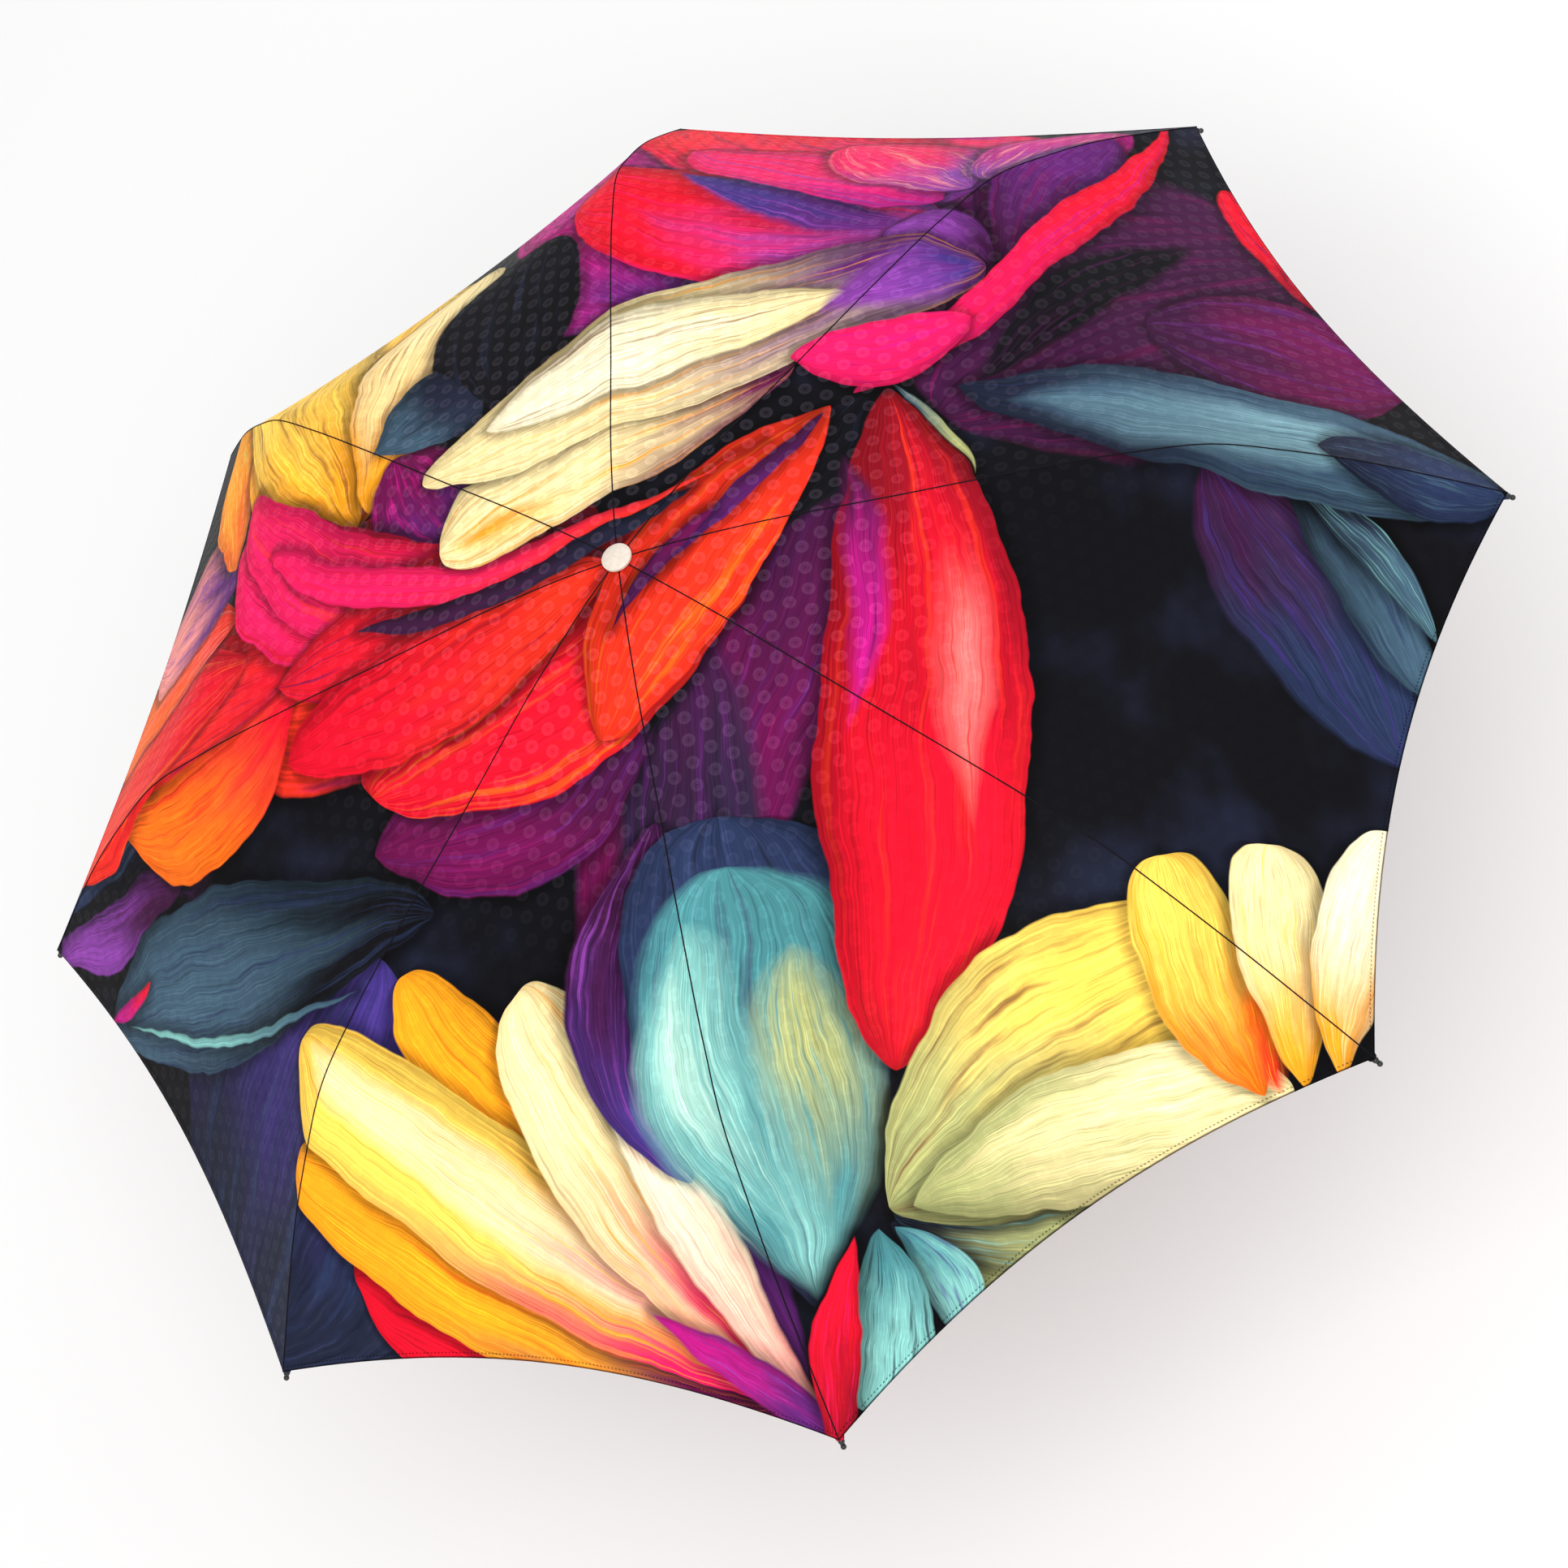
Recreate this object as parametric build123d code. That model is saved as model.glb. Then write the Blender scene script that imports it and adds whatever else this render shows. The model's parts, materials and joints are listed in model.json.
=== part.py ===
from build123d import *

import os
from math import atan2, cos, degrees, hypot, radians, sin, sqrt

# A three-fold pocket umbrella, standing open with its shaft along +Z. All sizes are in millimetres.
# The origin is the middle of the hand grip. Heights add up from the handle to the crown.

# ---- ribs and folds ------------------------------------------------------------------------
RIB_COUNT = 8
RIB_STEP = 360 / RIB_COUNT

# ---- handle --------------------------------------------------------------------------------
GRIP_RADIUS = 14.0
GRIP_HALF = 30.0
GRIP_BORE = 9.05
CORE_RADIUS = 9.0
CORE_BOTTOM = -24.0
TUBE_FOOT = -20.0
GRIP_ROUNDING = 1.5
GRIP_GROOVES = 4
GRIP_GROOVE_WIDTH = 1.2
GRIP_GROOVE_DEPTH = 0.5
GRIP_GROOVE_PITCH = 3.0
GRIP_GROOVE_FIRST = 16.0
END_CAP_HEIGHT = 6.0
END_CAP_RADIUS = 13.7
END_CAP_ROUNDING = 4.5
END_CAP_PLUG_RADIUS = 8.95
END_CAP_PLUG_TOP = -24.5
COLLAR_RADIUS = 12.5
COLLAR_TOP = 36.5
COLLAR_BORE = 4.10
COLLAR_ROUNDING = 2.5
TUBE_PIN_RADIUS = 1.2
TUBE_PIN_Z = -10.0
TUBE_PIN_LENGTH = 17.0
HOLE_FIT = 0.02
THROUGH = 30.0

# ---- telescoping shaft ---------------------------------------------------------------------
SLIDE_TRAVEL = 160.0
FERRULE_HEIGHT = 6.0
FERRULE_GAP = 1.0
FERRULE_FIT = 0.01
FERRULE_ROUNDING = 0.8
MIDDLE_FERRULE_RADIUS = 6.6
UPPER_FERRULE_RADIUS = 7.2
LOWER_RADIUS = 4.05
MIDDLE_BORE = 4.10
MIDDLE_RADIUS = 4.80
UPPER_BORE = 4.85
UPPER_RADIUS = 5.55
LOWER_WALL = 0.5
TUBE_OVERLAP = 34.0
CROWN_ABOVE_UPPER_END = 232.0

MIDDLE_END = COLLAR_TOP + FERRULE_GAP + SLIDE_TRAVEL
UPPER_END = MIDDLE_END + FERRULE_HEIGHT + FERRULE_GAP + SLIDE_TRAVEL
CROWN_Z = UPPER_END + CROWN_ABOVE_UPPER_END

# ---- canopy: height of the cloth over each rib, measured from the cone's apex ----------------
TIP_RADIUS = 485.0
APEX_ABOVE_CROWN = 13.8
APEX_Z = CROWN_Z + APEX_ABOVE_CROWN
CLOTH_RINGS = [(6.6, -9.6), (82, -17.0), (300, -64.7), (349, -82.7), (417, -142.6), (TIP_RADIUS, -217.2)]
CLOTH_BELOW_APEX = 300.0
CLOTH_CUT_HEIGHT = 320.0
CLOTH_THICK = 0.5
CLOTH_HOLE = 6.2
HEM_SAG = 16.0

# ---- crown ---------------------------------------------------------------------------------
CROWN_PIVOT_R = 9.0
CROWN_RADIUS = 12.4
CROWN_BELOW = 3.2
CROWN_ABOVE = 2.6
CROWN_SLOT = 2.0
CROWN_SLOT_FLOOR = 7.2
SLOT_REACH = 20.0
WIRE_RADIUS = 0.45
WIRE_GROOVE = 0.5
NOTCH_PIN_RADIUS = 0.8
NOTCH_PIN_DROP = 2.0
NOTCH_PIN_LENGTH = 22.0
CAP_RADIUS = 9.3
CAP_BASE = 5.2
CAP_RIM = 1.5
CAP_RISE = 2.5
CAP_STEM_RADIUS = 4.75
CAP_STEM_LENGTH = 6.0
TUBE_UNDER_CAP = 0.2

# ---- ribs: a rib line runs just under the cloth, and each section is measured from it --------
LINE_DROP = 4.6
KNEE = (177.0, -37.8 - LINE_DROP)
ELBOW = (334.0, -77.2 - LINE_DROP)
TIP_POINT = (483.0, -219.6)
CHANNEL_TOP = 0.8
CHANNEL_WEB = 0.4
CHANNEL_LEG = 2.2
KNEE_PIVOT_UP = 1.6
ELBOW_PIVOT_DOWN = 1.0
TOP_WIDTH = 4.0
TOP_INSIDE = 3.0
MIDDLE_WIDTH = 3.2
MIDDLE_INSIDE = 2.2
TONGUE_WIDTH = 1.5
STRETCHER_AT = 85.0
STRETCHER_LENGTH = 115.0
STRETCHER_WIDTH = 1.6
STRETCHER_HALF = 0.9
STRETCHER_EYE = 1.15
STRETCHER_PIVOT_DOWN = 0.9
RIVET_RADIUS = 0.6
ELBOW_RIVET_RADIUS = 0.5
RIVET_HEAD_OVER = 0.5
RIVET_HEAD_RISE = 0.4
TAIL_RADIUS = 0.9
TAIL_BOW = 6.0
TAIL_EYE = 1.2
TIP_SLEEVE_RADIUS = 1.5
TIP_SLEEVE_START = -9.5
TIP_SLEEVE_END = 3.5
TIP_COLLAR_RADIUS = 2.0
TIP_COLLAR_AT = 1.6
TIP_BALL_RADIUS = 1.75
TIP_BALL_AT = 5.2
TIP_BORE = 1.25
TIP_BORE_END = 0.3

# ---- angles of each rib section, in degrees above the outward direction ----------------------
TOP_CLOSED = -88.0
MIDDLE_CLOSED = 89.5
TAIL_CLOSED = -89.2

# ---- runner --------------------------------------------------------------------------------
RUNNER_PIVOT_R = 9.0
RUNNER_BORE = 5.65
FLANGE_RADIUS = 12.4
FLANGE_UP = 3.5
FLANGE_DOWN = 4.0
SLEEVE_RADIUS = 7.9
COLLAR_START = 10.0
COLLAR_END = 22.0
RUNNER_COLLAR_RADIUS = 9.6
SLEEVE_UNDER_FLANGE = 0.5
RUNNER_SLOT = 2.4
BUTTON_AZIMUTH = 22.5


def turned(angle):
    """Unit steps along a rib section and square to it, both in the rib's upright plane."""
    a = radians(angle)
    return (cos(a), sin(a)), (-sin(a), cos(a))


def along(start, angle, run, rise=0.0):
    """The (radius, height) point that lies run along a section and rise above it."""
    step, up = turned(angle)
    return (
        start[0] + run * step[0] + rise * up[0],
        start[1] + run * step[1] + rise * up[1],
    )


def heading(start, end):
    return degrees(atan2(end[1] - start[1], end[0] - start[0]))


def distance(start, end):
    return hypot(end[0] - start[0], end[1] - start[1])


# ---- the open linkage ----------------------------------------------------------------------
CROWN_PIVOT = (CROWN_PIVOT_R, CROWN_Z)
KNEE_LINE = (KNEE[0], APEX_Z + KNEE[1])
TOP_OPEN = heading(CROWN_PIVOT, KNEE_LINE)
TOP_LENGTH = distance(CROWN_PIVOT, KNEE_LINE)
KNEE_PIVOT = along(KNEE_LINE, TOP_OPEN, 0, KNEE_PIVOT_UP)
ELBOW_LINE = (ELBOW[0], APEX_Z + ELBOW[1])
MIDDLE_OPEN = heading(KNEE_LINE, ELBOW_LINE)
MIDDLE_START = along(KNEE_PIVOT, MIDDLE_OPEN, 0, -KNEE_PIVOT_UP)
MIDDLE_LENGTH = distance(MIDDLE_START, ELBOW_LINE)
ELBOW_PIVOT = along(MIDDLE_START, MIDDLE_OPEN, MIDDLE_LENGTH, -ELBOW_PIVOT_DOWN)
TAIL_END = (TIP_POINT[0], APEX_Z + TIP_POINT[1])
TAIL_OPEN = heading(ELBOW_PIVOT, TAIL_END)
TAIL_LENGTH = distance(ELBOW_PIVOT, TAIL_END)


def runner_height(top_angle):
    """Height of the runner's pivot, and the stretcher's angle, when the top rib is at top_angle."""
    joint = along(CROWN_PIVOT, top_angle, STRETCHER_AT, -STRETCHER_PIVOT_DOWN)
    out = joint[0] - RUNNER_PIVOT_R
    drop = sqrt(STRETCHER_LENGTH**2 - out**2)
    return joint[1] - drop, degrees(atan2(-drop, -out))


STRETCHER_PIVOT = along(CROWN_PIVOT, TOP_OPEN, STRETCHER_AT, -STRETCHER_PIVOT_DOWN)
RUNNER_Z, STRETCHER_OPEN = runner_height(TOP_OPEN)
RUNNER_CLOSED_Z, STRETCHER_CLOSED = runner_height(TOP_CLOSED)

# ---- how far each joint turns from open to closed, measured against its parent ---------------
TOP_TURN = TOP_CLOSED - TOP_OPEN
STRETCHER_TURN = (STRETCHER_CLOSED - STRETCHER_OPEN) - TOP_TURN
MIDDLE_TURN = (MIDDLE_CLOSED - MIDDLE_OPEN) - TOP_TURN
TAIL_TURN = (TAIL_CLOSED - TAIL_OPEN) - (MIDDLE_CLOSED - MIDDLE_OPEN)
RUNNER_TRAVEL = RUNNER_Z - RUNNER_CLOSED_Z


def section_plane(start, angle):
    """A plane through the rib: x along the section, y towards the cloth."""
    step, _ = turned(angle)
    return Plane(origin=(start[0], 0, start[1]), x_dir=(step[0], 0, step[1]), z_dir=(0, -1, 0))


def slab(plane, sketch, width):
    return extrude(plane * sketch, width / 2, both=True)


def block(x0, x1, y0, y1):
    return Pos((x0 + x1) / 2, (y0 + y1) / 2) * Rectangle(x1 - x0, y1 - y0)


def disc(x, y, radius):
    return Pos(x, y) * Circle(radius)


def rivet(plane, x, y, radius, width):
    shank = slab(plane, disc(x, y, radius), width)
    caps = slab(plane, disc(x, y, radius + RIVET_HEAD_OVER), width + 2 * RIVET_HEAD_RISE)
    return shank + (caps - slab(plane, disc(x, y, radius + 2 * RIVET_HEAD_OVER), width))


def ring(outer, inner, z0, z1):
    return Pos(0, 0, (z0 + z1) / 2) * (Cylinder(outer, z1 - z0) - Cylinder(inner, z1 - z0))


def rod(radius, z0, z1):
    return Pos(0, 0, (z0 + z1) / 2) * Cylinder(radius, z1 - z0)


def cross_hole(radius, length, z, azimuth=0.0):
    return Pos(0, 0, z) * Rot(0, 0, azimuth) * Rot(0, 90, 0) * Cylinder(radius, length)


# ---- rib sections, made once over +X ---------------------------------------------------------
RIVET_FIT = 0.01
PIVOT_FIT = 0.06
EYE = 1.4
CHANNEL_START = 5.6
EAR = 1.3
WEB_STOP = 5.0
LEG_LOW = -CHANNEL_LEG
CUT = 0.2
TONGUE_IN_WEB = 4.0
WIRE_EYE_FIT = 0.1
NECK_OUTLINE = [(0, 0.5), (6, -1.6), (9, -1.6), (9, 0.8), (5, 0.8), (0.6, 2.6)]
NECK_EYE = 1.2
NECK_FIT = 0.4


def top_rib():
    """U-channel with a tongue at the crown, a riveted stretcher joint and two ears at the knee."""
    plane = section_plane(CROWN_PIVOT, TOP_OPEN)
    end = TOP_LENGTH + EAR
    side = block(CHANNEL_START, end, LEG_LOW, CHANNEL_TOP)
    side += block(TOP_LENGTH - EAR, end, 0, KNEE_PIVOT_UP) + disc(TOP_LENGTH, KNEE_PIVOT_UP, EAR)
    body = slab(plane, side, TOP_WIDTH)
    body -= slab(plane, block(0, end + CUT, LEG_LOW - CUT, CHANNEL_WEB), TOP_INSIDE)
    fork = block(TOP_LENGTH - WEB_STOP, end + CUT, LEG_LOW - CUT, KNEE_PIVOT_UP + 2 * EAR)
    body -= slab(plane, fork, TOP_INSIDE)
    tongue = disc(0, 0, EYE) + block(0, CHANNEL_START + TONGUE_IN_WEB, -EYE, CHANNEL_TOP)
    body += slab(plane, tongue, TONGUE_WIDTH)
    body -= slab(plane, disc(0, 0, WIRE_RADIUS + WIRE_EYE_FIT), TOP_WIDTH)
    pins = []
    for x, y in [(STRETCHER_AT, -STRETCHER_PIVOT_DOWN), (TOP_LENGTH, KNEE_PIVOT_UP)]:
        body -= slab(plane, disc(x, y, RIVET_RADIUS + RIVET_FIT), 2 * TOP_WIDTH)
        pins.append(rivet(plane, x, y, RIVET_RADIUS, TOP_WIDTH))
    return [body] + pins


def stretcher():
    """Flat bar from the top rib's joint down to the runner."""
    plane = section_plane(STRETCHER_PIVOT, STRETCHER_OPEN)
    side = block(0, STRETCHER_LENGTH, -STRETCHER_HALF, STRETCHER_HALF)
    side += disc(0, 0, STRETCHER_EYE) + disc(STRETCHER_LENGTH, 0, EAR)
    side -= disc(0, 0, RIVET_RADIUS + PIVOT_FIT) + disc(STRETCHER_LENGTH, 0, RIVET_RADIUS)
    return [slab(plane, side, STRETCHER_WIDTH)]


def middle_rib():
    """Narrower U-channel with a raised tongue at the knee and a rivet at the elbow."""
    plane = section_plane(MIDDLE_START, MIDDLE_OPEN)
    start = WEB_STOP
    end = MIDDLE_LENGTH + EAR
    body = slab(plane, block(start, end, LEG_LOW, CHANNEL_TOP), MIDDLE_WIDTH)
    body -= slab(plane, block(start - CUT, end + CUT, LEG_LOW - CUT, CHANNEL_WEB), MIDDLE_INSIDE)
    neck = Polygon(*NECK_OUTLINE, align=None) + disc(0, KNEE_PIVOT_UP, NECK_EYE)
    body += slab(plane, neck, TOP_INSIDE - NECK_FIT)
    body -= slab(plane, disc(0, KNEE_PIVOT_UP, RIVET_RADIUS + PIVOT_FIT), TOP_WIDTH)
    elbow = (MIDDLE_LENGTH, -ELBOW_PIVOT_DOWN)
    body -= slab(plane, disc(*elbow, ELBOW_RIVET_RADIUS + RIVET_FIT), TOP_WIDTH)
    return [body, rivet(plane, *elbow, ELBOW_RIVET_RADIUS, MIDDLE_WIDTH)]


def tail_path():
    """Bowed line of the tail rod, from the elbow to the tip."""
    middle = along(ELBOW_PIVOT, TAIL_OPEN, TAIL_LENGTH / 2, TAIL_BOW)
    points = [(p[0], 0, p[1]) for p in (ELBOW_PIVOT, middle, TAIL_END)]
    return ThreePointArc(*points)


def tail_rib():
    """Round spring rod, bowed by the cloth, with a flat eye at the elbow."""
    path = tail_path()
    rod_body = sweep(Plane(origin=path @ 0, z_dir=path % 0) * Circle(TAIL_RADIUS), path)
    plane = section_plane(ELBOW_PIVOT, TAIL_OPEN)
    body = rod_body + slab(plane, disc(0, 0, TAIL_EYE), MIDDLE_INSIDE - CUT)
    body -= slab(plane, disc(0, 0, ELBOW_RIVET_RADIUS + PIVOT_FIT), TOP_WIDTH)
    return [body]


def tip():
    """Sleeve on the end of the tail rod with a small collar and a ball end."""
    path = tail_path()
    place = Plane(origin=path @ 1, z_dir=path % 1)
    body = rod(TIP_SLEEVE_RADIUS, TIP_SLEEVE_START, TIP_SLEEVE_END)
    body += Pos(0, 0, TIP_COLLAR_AT) * Sphere(TIP_COLLAR_RADIUS)
    body += Pos(0, 0, TIP_BALL_AT) * Sphere(TIP_BALL_RADIUS)
    body -= rod(TIP_BORE, TIP_SLEEVE_START - CUT, TIP_BORE_END)
    return [place * body]


# ---- shaft and crown -------------------------------------------------------------------------
def handle_grip():
    body = ring(GRIP_RADIUS, GRIP_BORE, -GRIP_HALF, GRIP_HALF)
    rims = body.edges().filter_by(GeomType.CIRCLE).group_by(SortBy.RADIUS)[-1]
    body = fillet(rims, GRIP_ROUNDING)
    for i in range(GRIP_GROOVES):
        height = GRIP_GROOVE_FIRST + i * GRIP_GROOVE_PITCH
        for middle in (-height, height):
            low = middle - GRIP_GROOVE_WIDTH / 2
            body -= ring(GRIP_RADIUS + CUT, GRIP_RADIUS - GRIP_GROOVE_DEPTH, low, low + GRIP_GROOVE_WIDTH)
    return [body]


def handle_core():
    body = rod(CORE_RADIUS, CORE_BOTTOM, GRIP_HALF)
    body -= rod(LOWER_RADIUS + HOLE_FIT, TUBE_FOOT, GRIP_HALF + CUT)
    return [body - cross_hole(TUBE_PIN_RADIUS + HOLE_FIT, THROUGH, TUBE_PIN_Z)]


def handle_end_cap():
    low = -GRIP_HALF - END_CAP_HEIGHT
    dome = rod(END_CAP_RADIUS, low, -GRIP_HALF)
    dome = fillet(dome.edges().filter_by(GeomType.CIRCLE).group_by(Axis.Z)[0], END_CAP_ROUNDING)
    return [dome + rod(END_CAP_PLUG_RADIUS, -GRIP_HALF, END_CAP_PLUG_TOP)]


def handle_collar():
    body = ring(COLLAR_RADIUS, COLLAR_BORE, GRIP_HALF, COLLAR_TOP)
    top = body.edges().filter_by(GeomType.CIRCLE).group_by(Axis.Z)[-1].group_by(SortBy.RADIUS)[-1]
    return [fillet(top, COLLAR_ROUNDING)]


def tube_pin():
    return [cross_hole(TUBE_PIN_RADIUS, TUBE_PIN_LENGTH, TUBE_PIN_Z)]


def lower_tube():
    top = MIDDLE_END + TUBE_OVERLAP
    body = ring(LOWER_RADIUS, LOWER_RADIUS - LOWER_WALL, TUBE_FOOT, top)
    return [body - cross_hole(TUBE_PIN_RADIUS + HOLE_FIT, THROUGH, TUBE_PIN_Z)]


def middle_tube():
    return [ring(MIDDLE_RADIUS, MIDDLE_BORE, MIDDLE_END, UPPER_END + TUBE_OVERLAP)]


def ferrule(bore, outer, bottom):
    """Plastic end ring, sitting round the foot of a tube."""
    body = ring(outer, bore, bottom, bottom + FERRULE_HEIGHT)
    rims = body.edges().filter_by(GeomType.CIRCLE).group_by(SortBy.RADIUS)[-1]
    return [fillet(rims, FERRULE_ROUNDING)]


def middle_ferrule():
    return ferrule(MIDDLE_RADIUS + FERRULE_FIT, MIDDLE_FERRULE_RADIUS, MIDDLE_END)


def upper_ferrule():
    return ferrule(UPPER_RADIUS + FERRULE_FIT, UPPER_FERRULE_RADIUS, UPPER_END)


def notch_pin_hole():
    return cross_hole(NOTCH_PIN_RADIUS + HOLE_FIT, THROUGH, CROWN_Z - NOTCH_PIN_DROP, RIB_STEP / 2)


def upper_tube():
    body = ring(UPPER_RADIUS, UPPER_BORE, UPPER_END, CROWN_Z + CAP_BASE - TUBE_UNDER_CAP)
    return [body - notch_pin_hole()]


def radial_slots(floor, width, z0, z1):
    """One upright slot per rib, open outwards from the floor radius."""
    cutter = Pos(floor + SLOT_REACH / 2, 0, (z0 + z1) / 2) * Box(SLOT_REACH, width, z1 - z0)
    return [Rot(0, 0, RIB_STEP * i) * cutter for i in range(RIB_COUNT)]


def crown_notch():
    """Slotted disc that the top ribs hinge in, with a groove for the hinge wire."""
    low = CROWN_Z - CROWN_BELOW
    high = CROWN_Z + CROWN_ABOVE
    body = ring(CROWN_RADIUS, UPPER_RADIUS + HOLE_FIT, low, high)
    groove_outer = CROWN_PIVOT_R + WIRE_GROOVE
    body -= ring(groove_outer, CROWN_PIVOT_R - WIRE_GROOVE, CROWN_Z - WIRE_GROOVE, high + CUT)
    body -= notch_pin_hole()
    for cutter in radial_slots(CROWN_SLOT_FLOOR, CROWN_SLOT, low - CUT, high + CUT):
        body -= cutter
    return [body]


def crown_wire():
    return [Pos(0, 0, CROWN_Z) * Torus(CROWN_PIVOT_R, WIRE_RADIUS)]


def notch_pin():
    return [cross_hole(NOTCH_PIN_RADIUS, NOTCH_PIN_LENGTH, CROWN_Z - NOTCH_PIN_DROP, RIB_STEP / 2)]


def crown_cap():
    """Low domed button over the cloth, with a stem in the tube."""
    base = CROWN_Z + CAP_BASE
    rise = CAP_RISE
    sphere_radius = (CAP_RADIUS**2 + rise**2) / (2 * rise)
    dome = Pos(0, 0, base + CAP_RIM + rise - sphere_radius) * Sphere(sphere_radius)
    body = dome & rod(CAP_RADIUS, base + CAP_RIM, base + CAP_RIM + rise + CUT)
    body += rod(CAP_RADIUS, base, base + CAP_RIM)
    return [body + rod(CAP_STEM_RADIUS, base - CAP_STEM_LENGTH, base)]


def canopy():
    """Eight-sided cloth dome as a thin shell, with its hem curved inwards between the tips."""
    rings = []
    for radius, z in CLOTH_RINGS:
        rings.append(Pos(0, 0, APEX_Z + z + CLOTH_THICK / 2) * RegularPolygon(radius, RIB_COUNT))
    dome = loft(rings, ruled=True)
    shell = dome - Pos(0, 0, -CLOTH_THICK) * dome
    shell -= rod(CLOTH_HOLE, CROWN_Z, APEX_Z)
    low_side = TIP_RADIUS * cos(radians(RIB_STEP / 2)) - HEM_SAG
    arcs = []
    for i in range(RIB_COUNT):
        spots = []
        for turn, radius in [(0, TIP_RADIUS), (0.5, low_side), (1, TIP_RADIUS)]:
            a = radians(RIB_STEP * (i + turn))
            spots.append((radius * cos(a), radius * sin(a)))
        arcs.append(ThreePointArc(*spots))
    outline = Pos(0, 0, APEX_Z - CLOTH_BELOW_APEX) * make_face(Wire(arcs))
    return [shell & extrude(outline, CLOTH_CUT_HEIGHT)]


# ---- runner ----------------------------------------------------------------------------------
BUTTON_Z = RUNNER_Z - (COLLAR_START + COLLAR_END) / 2
POCKET_FLOOR = 6.1
BUTTON_BACK = 7.3
BUTTON_LIP = 8.3
BUTTON_FACE = 10.8
BUTTON_WIDTH = 6.0
BUTTON_HEIGHT = 8.0
BUTTON_ROUNDING = 0.8
LIP_OVER = 0.7
POCKET_ROOM = 0.2
WINDOW_ROOM = 0.15
LIP_GAP = 0.1
SPRING_LEAF = 0.2
SPRING_FIT = 0.05
SPRING_HALF_WIDTH = 2.0
SPRING_PITCH = 1.8


def radial_box(r0, r1, width, height):
    """A box that points outwards at the button's side of the runner."""
    box = Pos((r0 + r1) / 2, 0, 0) * Box(r1 - r0, width, height)
    return Pos(0, 0, BUTTON_Z) * Rot(0, 0, BUTTON_AZIMUTH) * box


def runner():
    """Sleeve on the upper tube: slotted flange for the stretchers, and a finger collar."""
    body = rod(FLANGE_RADIUS, RUNNER_Z - FLANGE_DOWN, RUNNER_Z + FLANGE_UP)
    low = RUNNER_Z - FLANGE_DOWN - CUT
    high = RUNNER_Z + FLANGE_UP + CUT
    for cutter in radial_slots(CROWN_SLOT_FLOOR, RUNNER_SLOT, low, high):
        body -= cutter
    body += rod(CROWN_SLOT_FLOOR, RUNNER_Z - COLLAR_START, RUNNER_Z + FLANGE_UP)
    body += rod(SLEEVE_RADIUS, RUNNER_Z - COLLAR_START, RUNNER_Z - FLANGE_DOWN - SLEEVE_UNDER_FLANGE)
    body += rod(RUNNER_COLLAR_RADIUS, RUNNER_Z - COLLAR_END, RUNNER_Z - COLLAR_START)
    body -= rod(RUNNER_BORE, RUNNER_Z - COLLAR_END - CUT, high)
    pocket_width = BUTTON_WIDTH + 2 * (LIP_OVER + POCKET_ROOM)
    pocket_height = BUTTON_HEIGHT + 2 * (LIP_OVER + POCKET_ROOM)
    body -= radial_box(POCKET_FLOOR, BUTTON_LIP + LIP_GAP, pocket_width, pocket_height)
    window_width = BUTTON_WIDTH + 2 * WINDOW_ROOM
    window_height = BUTTON_HEIGHT + 2 * WINDOW_ROOM
    body -= radial_box(BUTTON_LIP, FLANGE_RADIUS, window_width, window_height)
    return [body]


def runner_button():
    """Release button with an inner lip that keeps it in the collar."""
    head = radial_box(BUTTON_BACK, BUTTON_FACE, BUTTON_WIDTH, BUTTON_HEIGHT)
    outer = BUTTON_FACE - BUTTON_ROUNDING / 2
    face = head.edges().filter_by(lambda e: hypot((e @ 0.5).X, (e @ 0.5).Y) > outer)
    head = fillet(face, BUTTON_ROUNDING)
    lip = radial_box(BUTTON_BACK, BUTTON_LIP, BUTTON_WIDTH + 2 * LIP_OVER, BUTTON_HEIGHT + 2 * LIP_OVER)
    return [head + lip]


def button_spring():
    """Thin folded leaf between the button and the floor of its pocket."""
    front = BUTTON_BACK - POCKET_FLOOR - 2 * SPRING_FIT - SPRING_LEAF
    folds = [(0.0 if i % 2 == 0 else front, (i - 2) * SPRING_PITCH) for i in range(5)]
    outline = folds + [(x + SPRING_LEAF, z) for x, z in reversed(folds)]
    side = extrude(Plane.XZ * Polygon(*outline, align=None), SPRING_HALF_WIDTH, both=True)
    side = Pos(POCKET_FLOOR + SPRING_FIT, 0, 0) * side
    return [Pos(0, 0, BUTTON_Z) * Rot(0, 0, BUTTON_AZIMUTH) * side]


# ---- every sub-part ---------------------------------------------------------------------------
SINGLE_PARTS = [
    handle_grip,
    handle_core,
    handle_end_cap,
    handle_collar,
    tube_pin,
    lower_tube,
    middle_tube,
    middle_ferrule,
    upper_tube,
    upper_ferrule,
    crown_notch,
    crown_wire,
    notch_pin,
    crown_cap,
    canopy,
    runner,
    runner_button,
    button_spring,
]
RIB_PARTS = [top_rib, stretcher, middle_rib, tail_rib, tip]


def azimuth(rib):
    """Compass angle of a rib about +Z: rib 1 lies over +X, and the rest follow clockwise from above."""
    return -RIB_STEP * (rib - 1)


def save(name, solids):
    shape = solids[0] if len(solids) == 1 else Compound(children=[Compound(s.wrapped) for s in solids])
    export_step(shape, f"parts/{name}.step")


def main():
    os.makedirs("parts", exist_ok=True)
    for make in SINGLE_PARTS:
        save(make.__name__, make())
    for make in RIB_PARTS:
        solids = make()
        for rib in range(1, RIB_COUNT + 1):
            turn = Rot(0, 0, azimuth(rib))
            save(f"{make.__name__}_{rib}", [turn * s for s in solids])


main()
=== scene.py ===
import json
from math import cos, hypot, pi, radians, sin, tan

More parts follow.
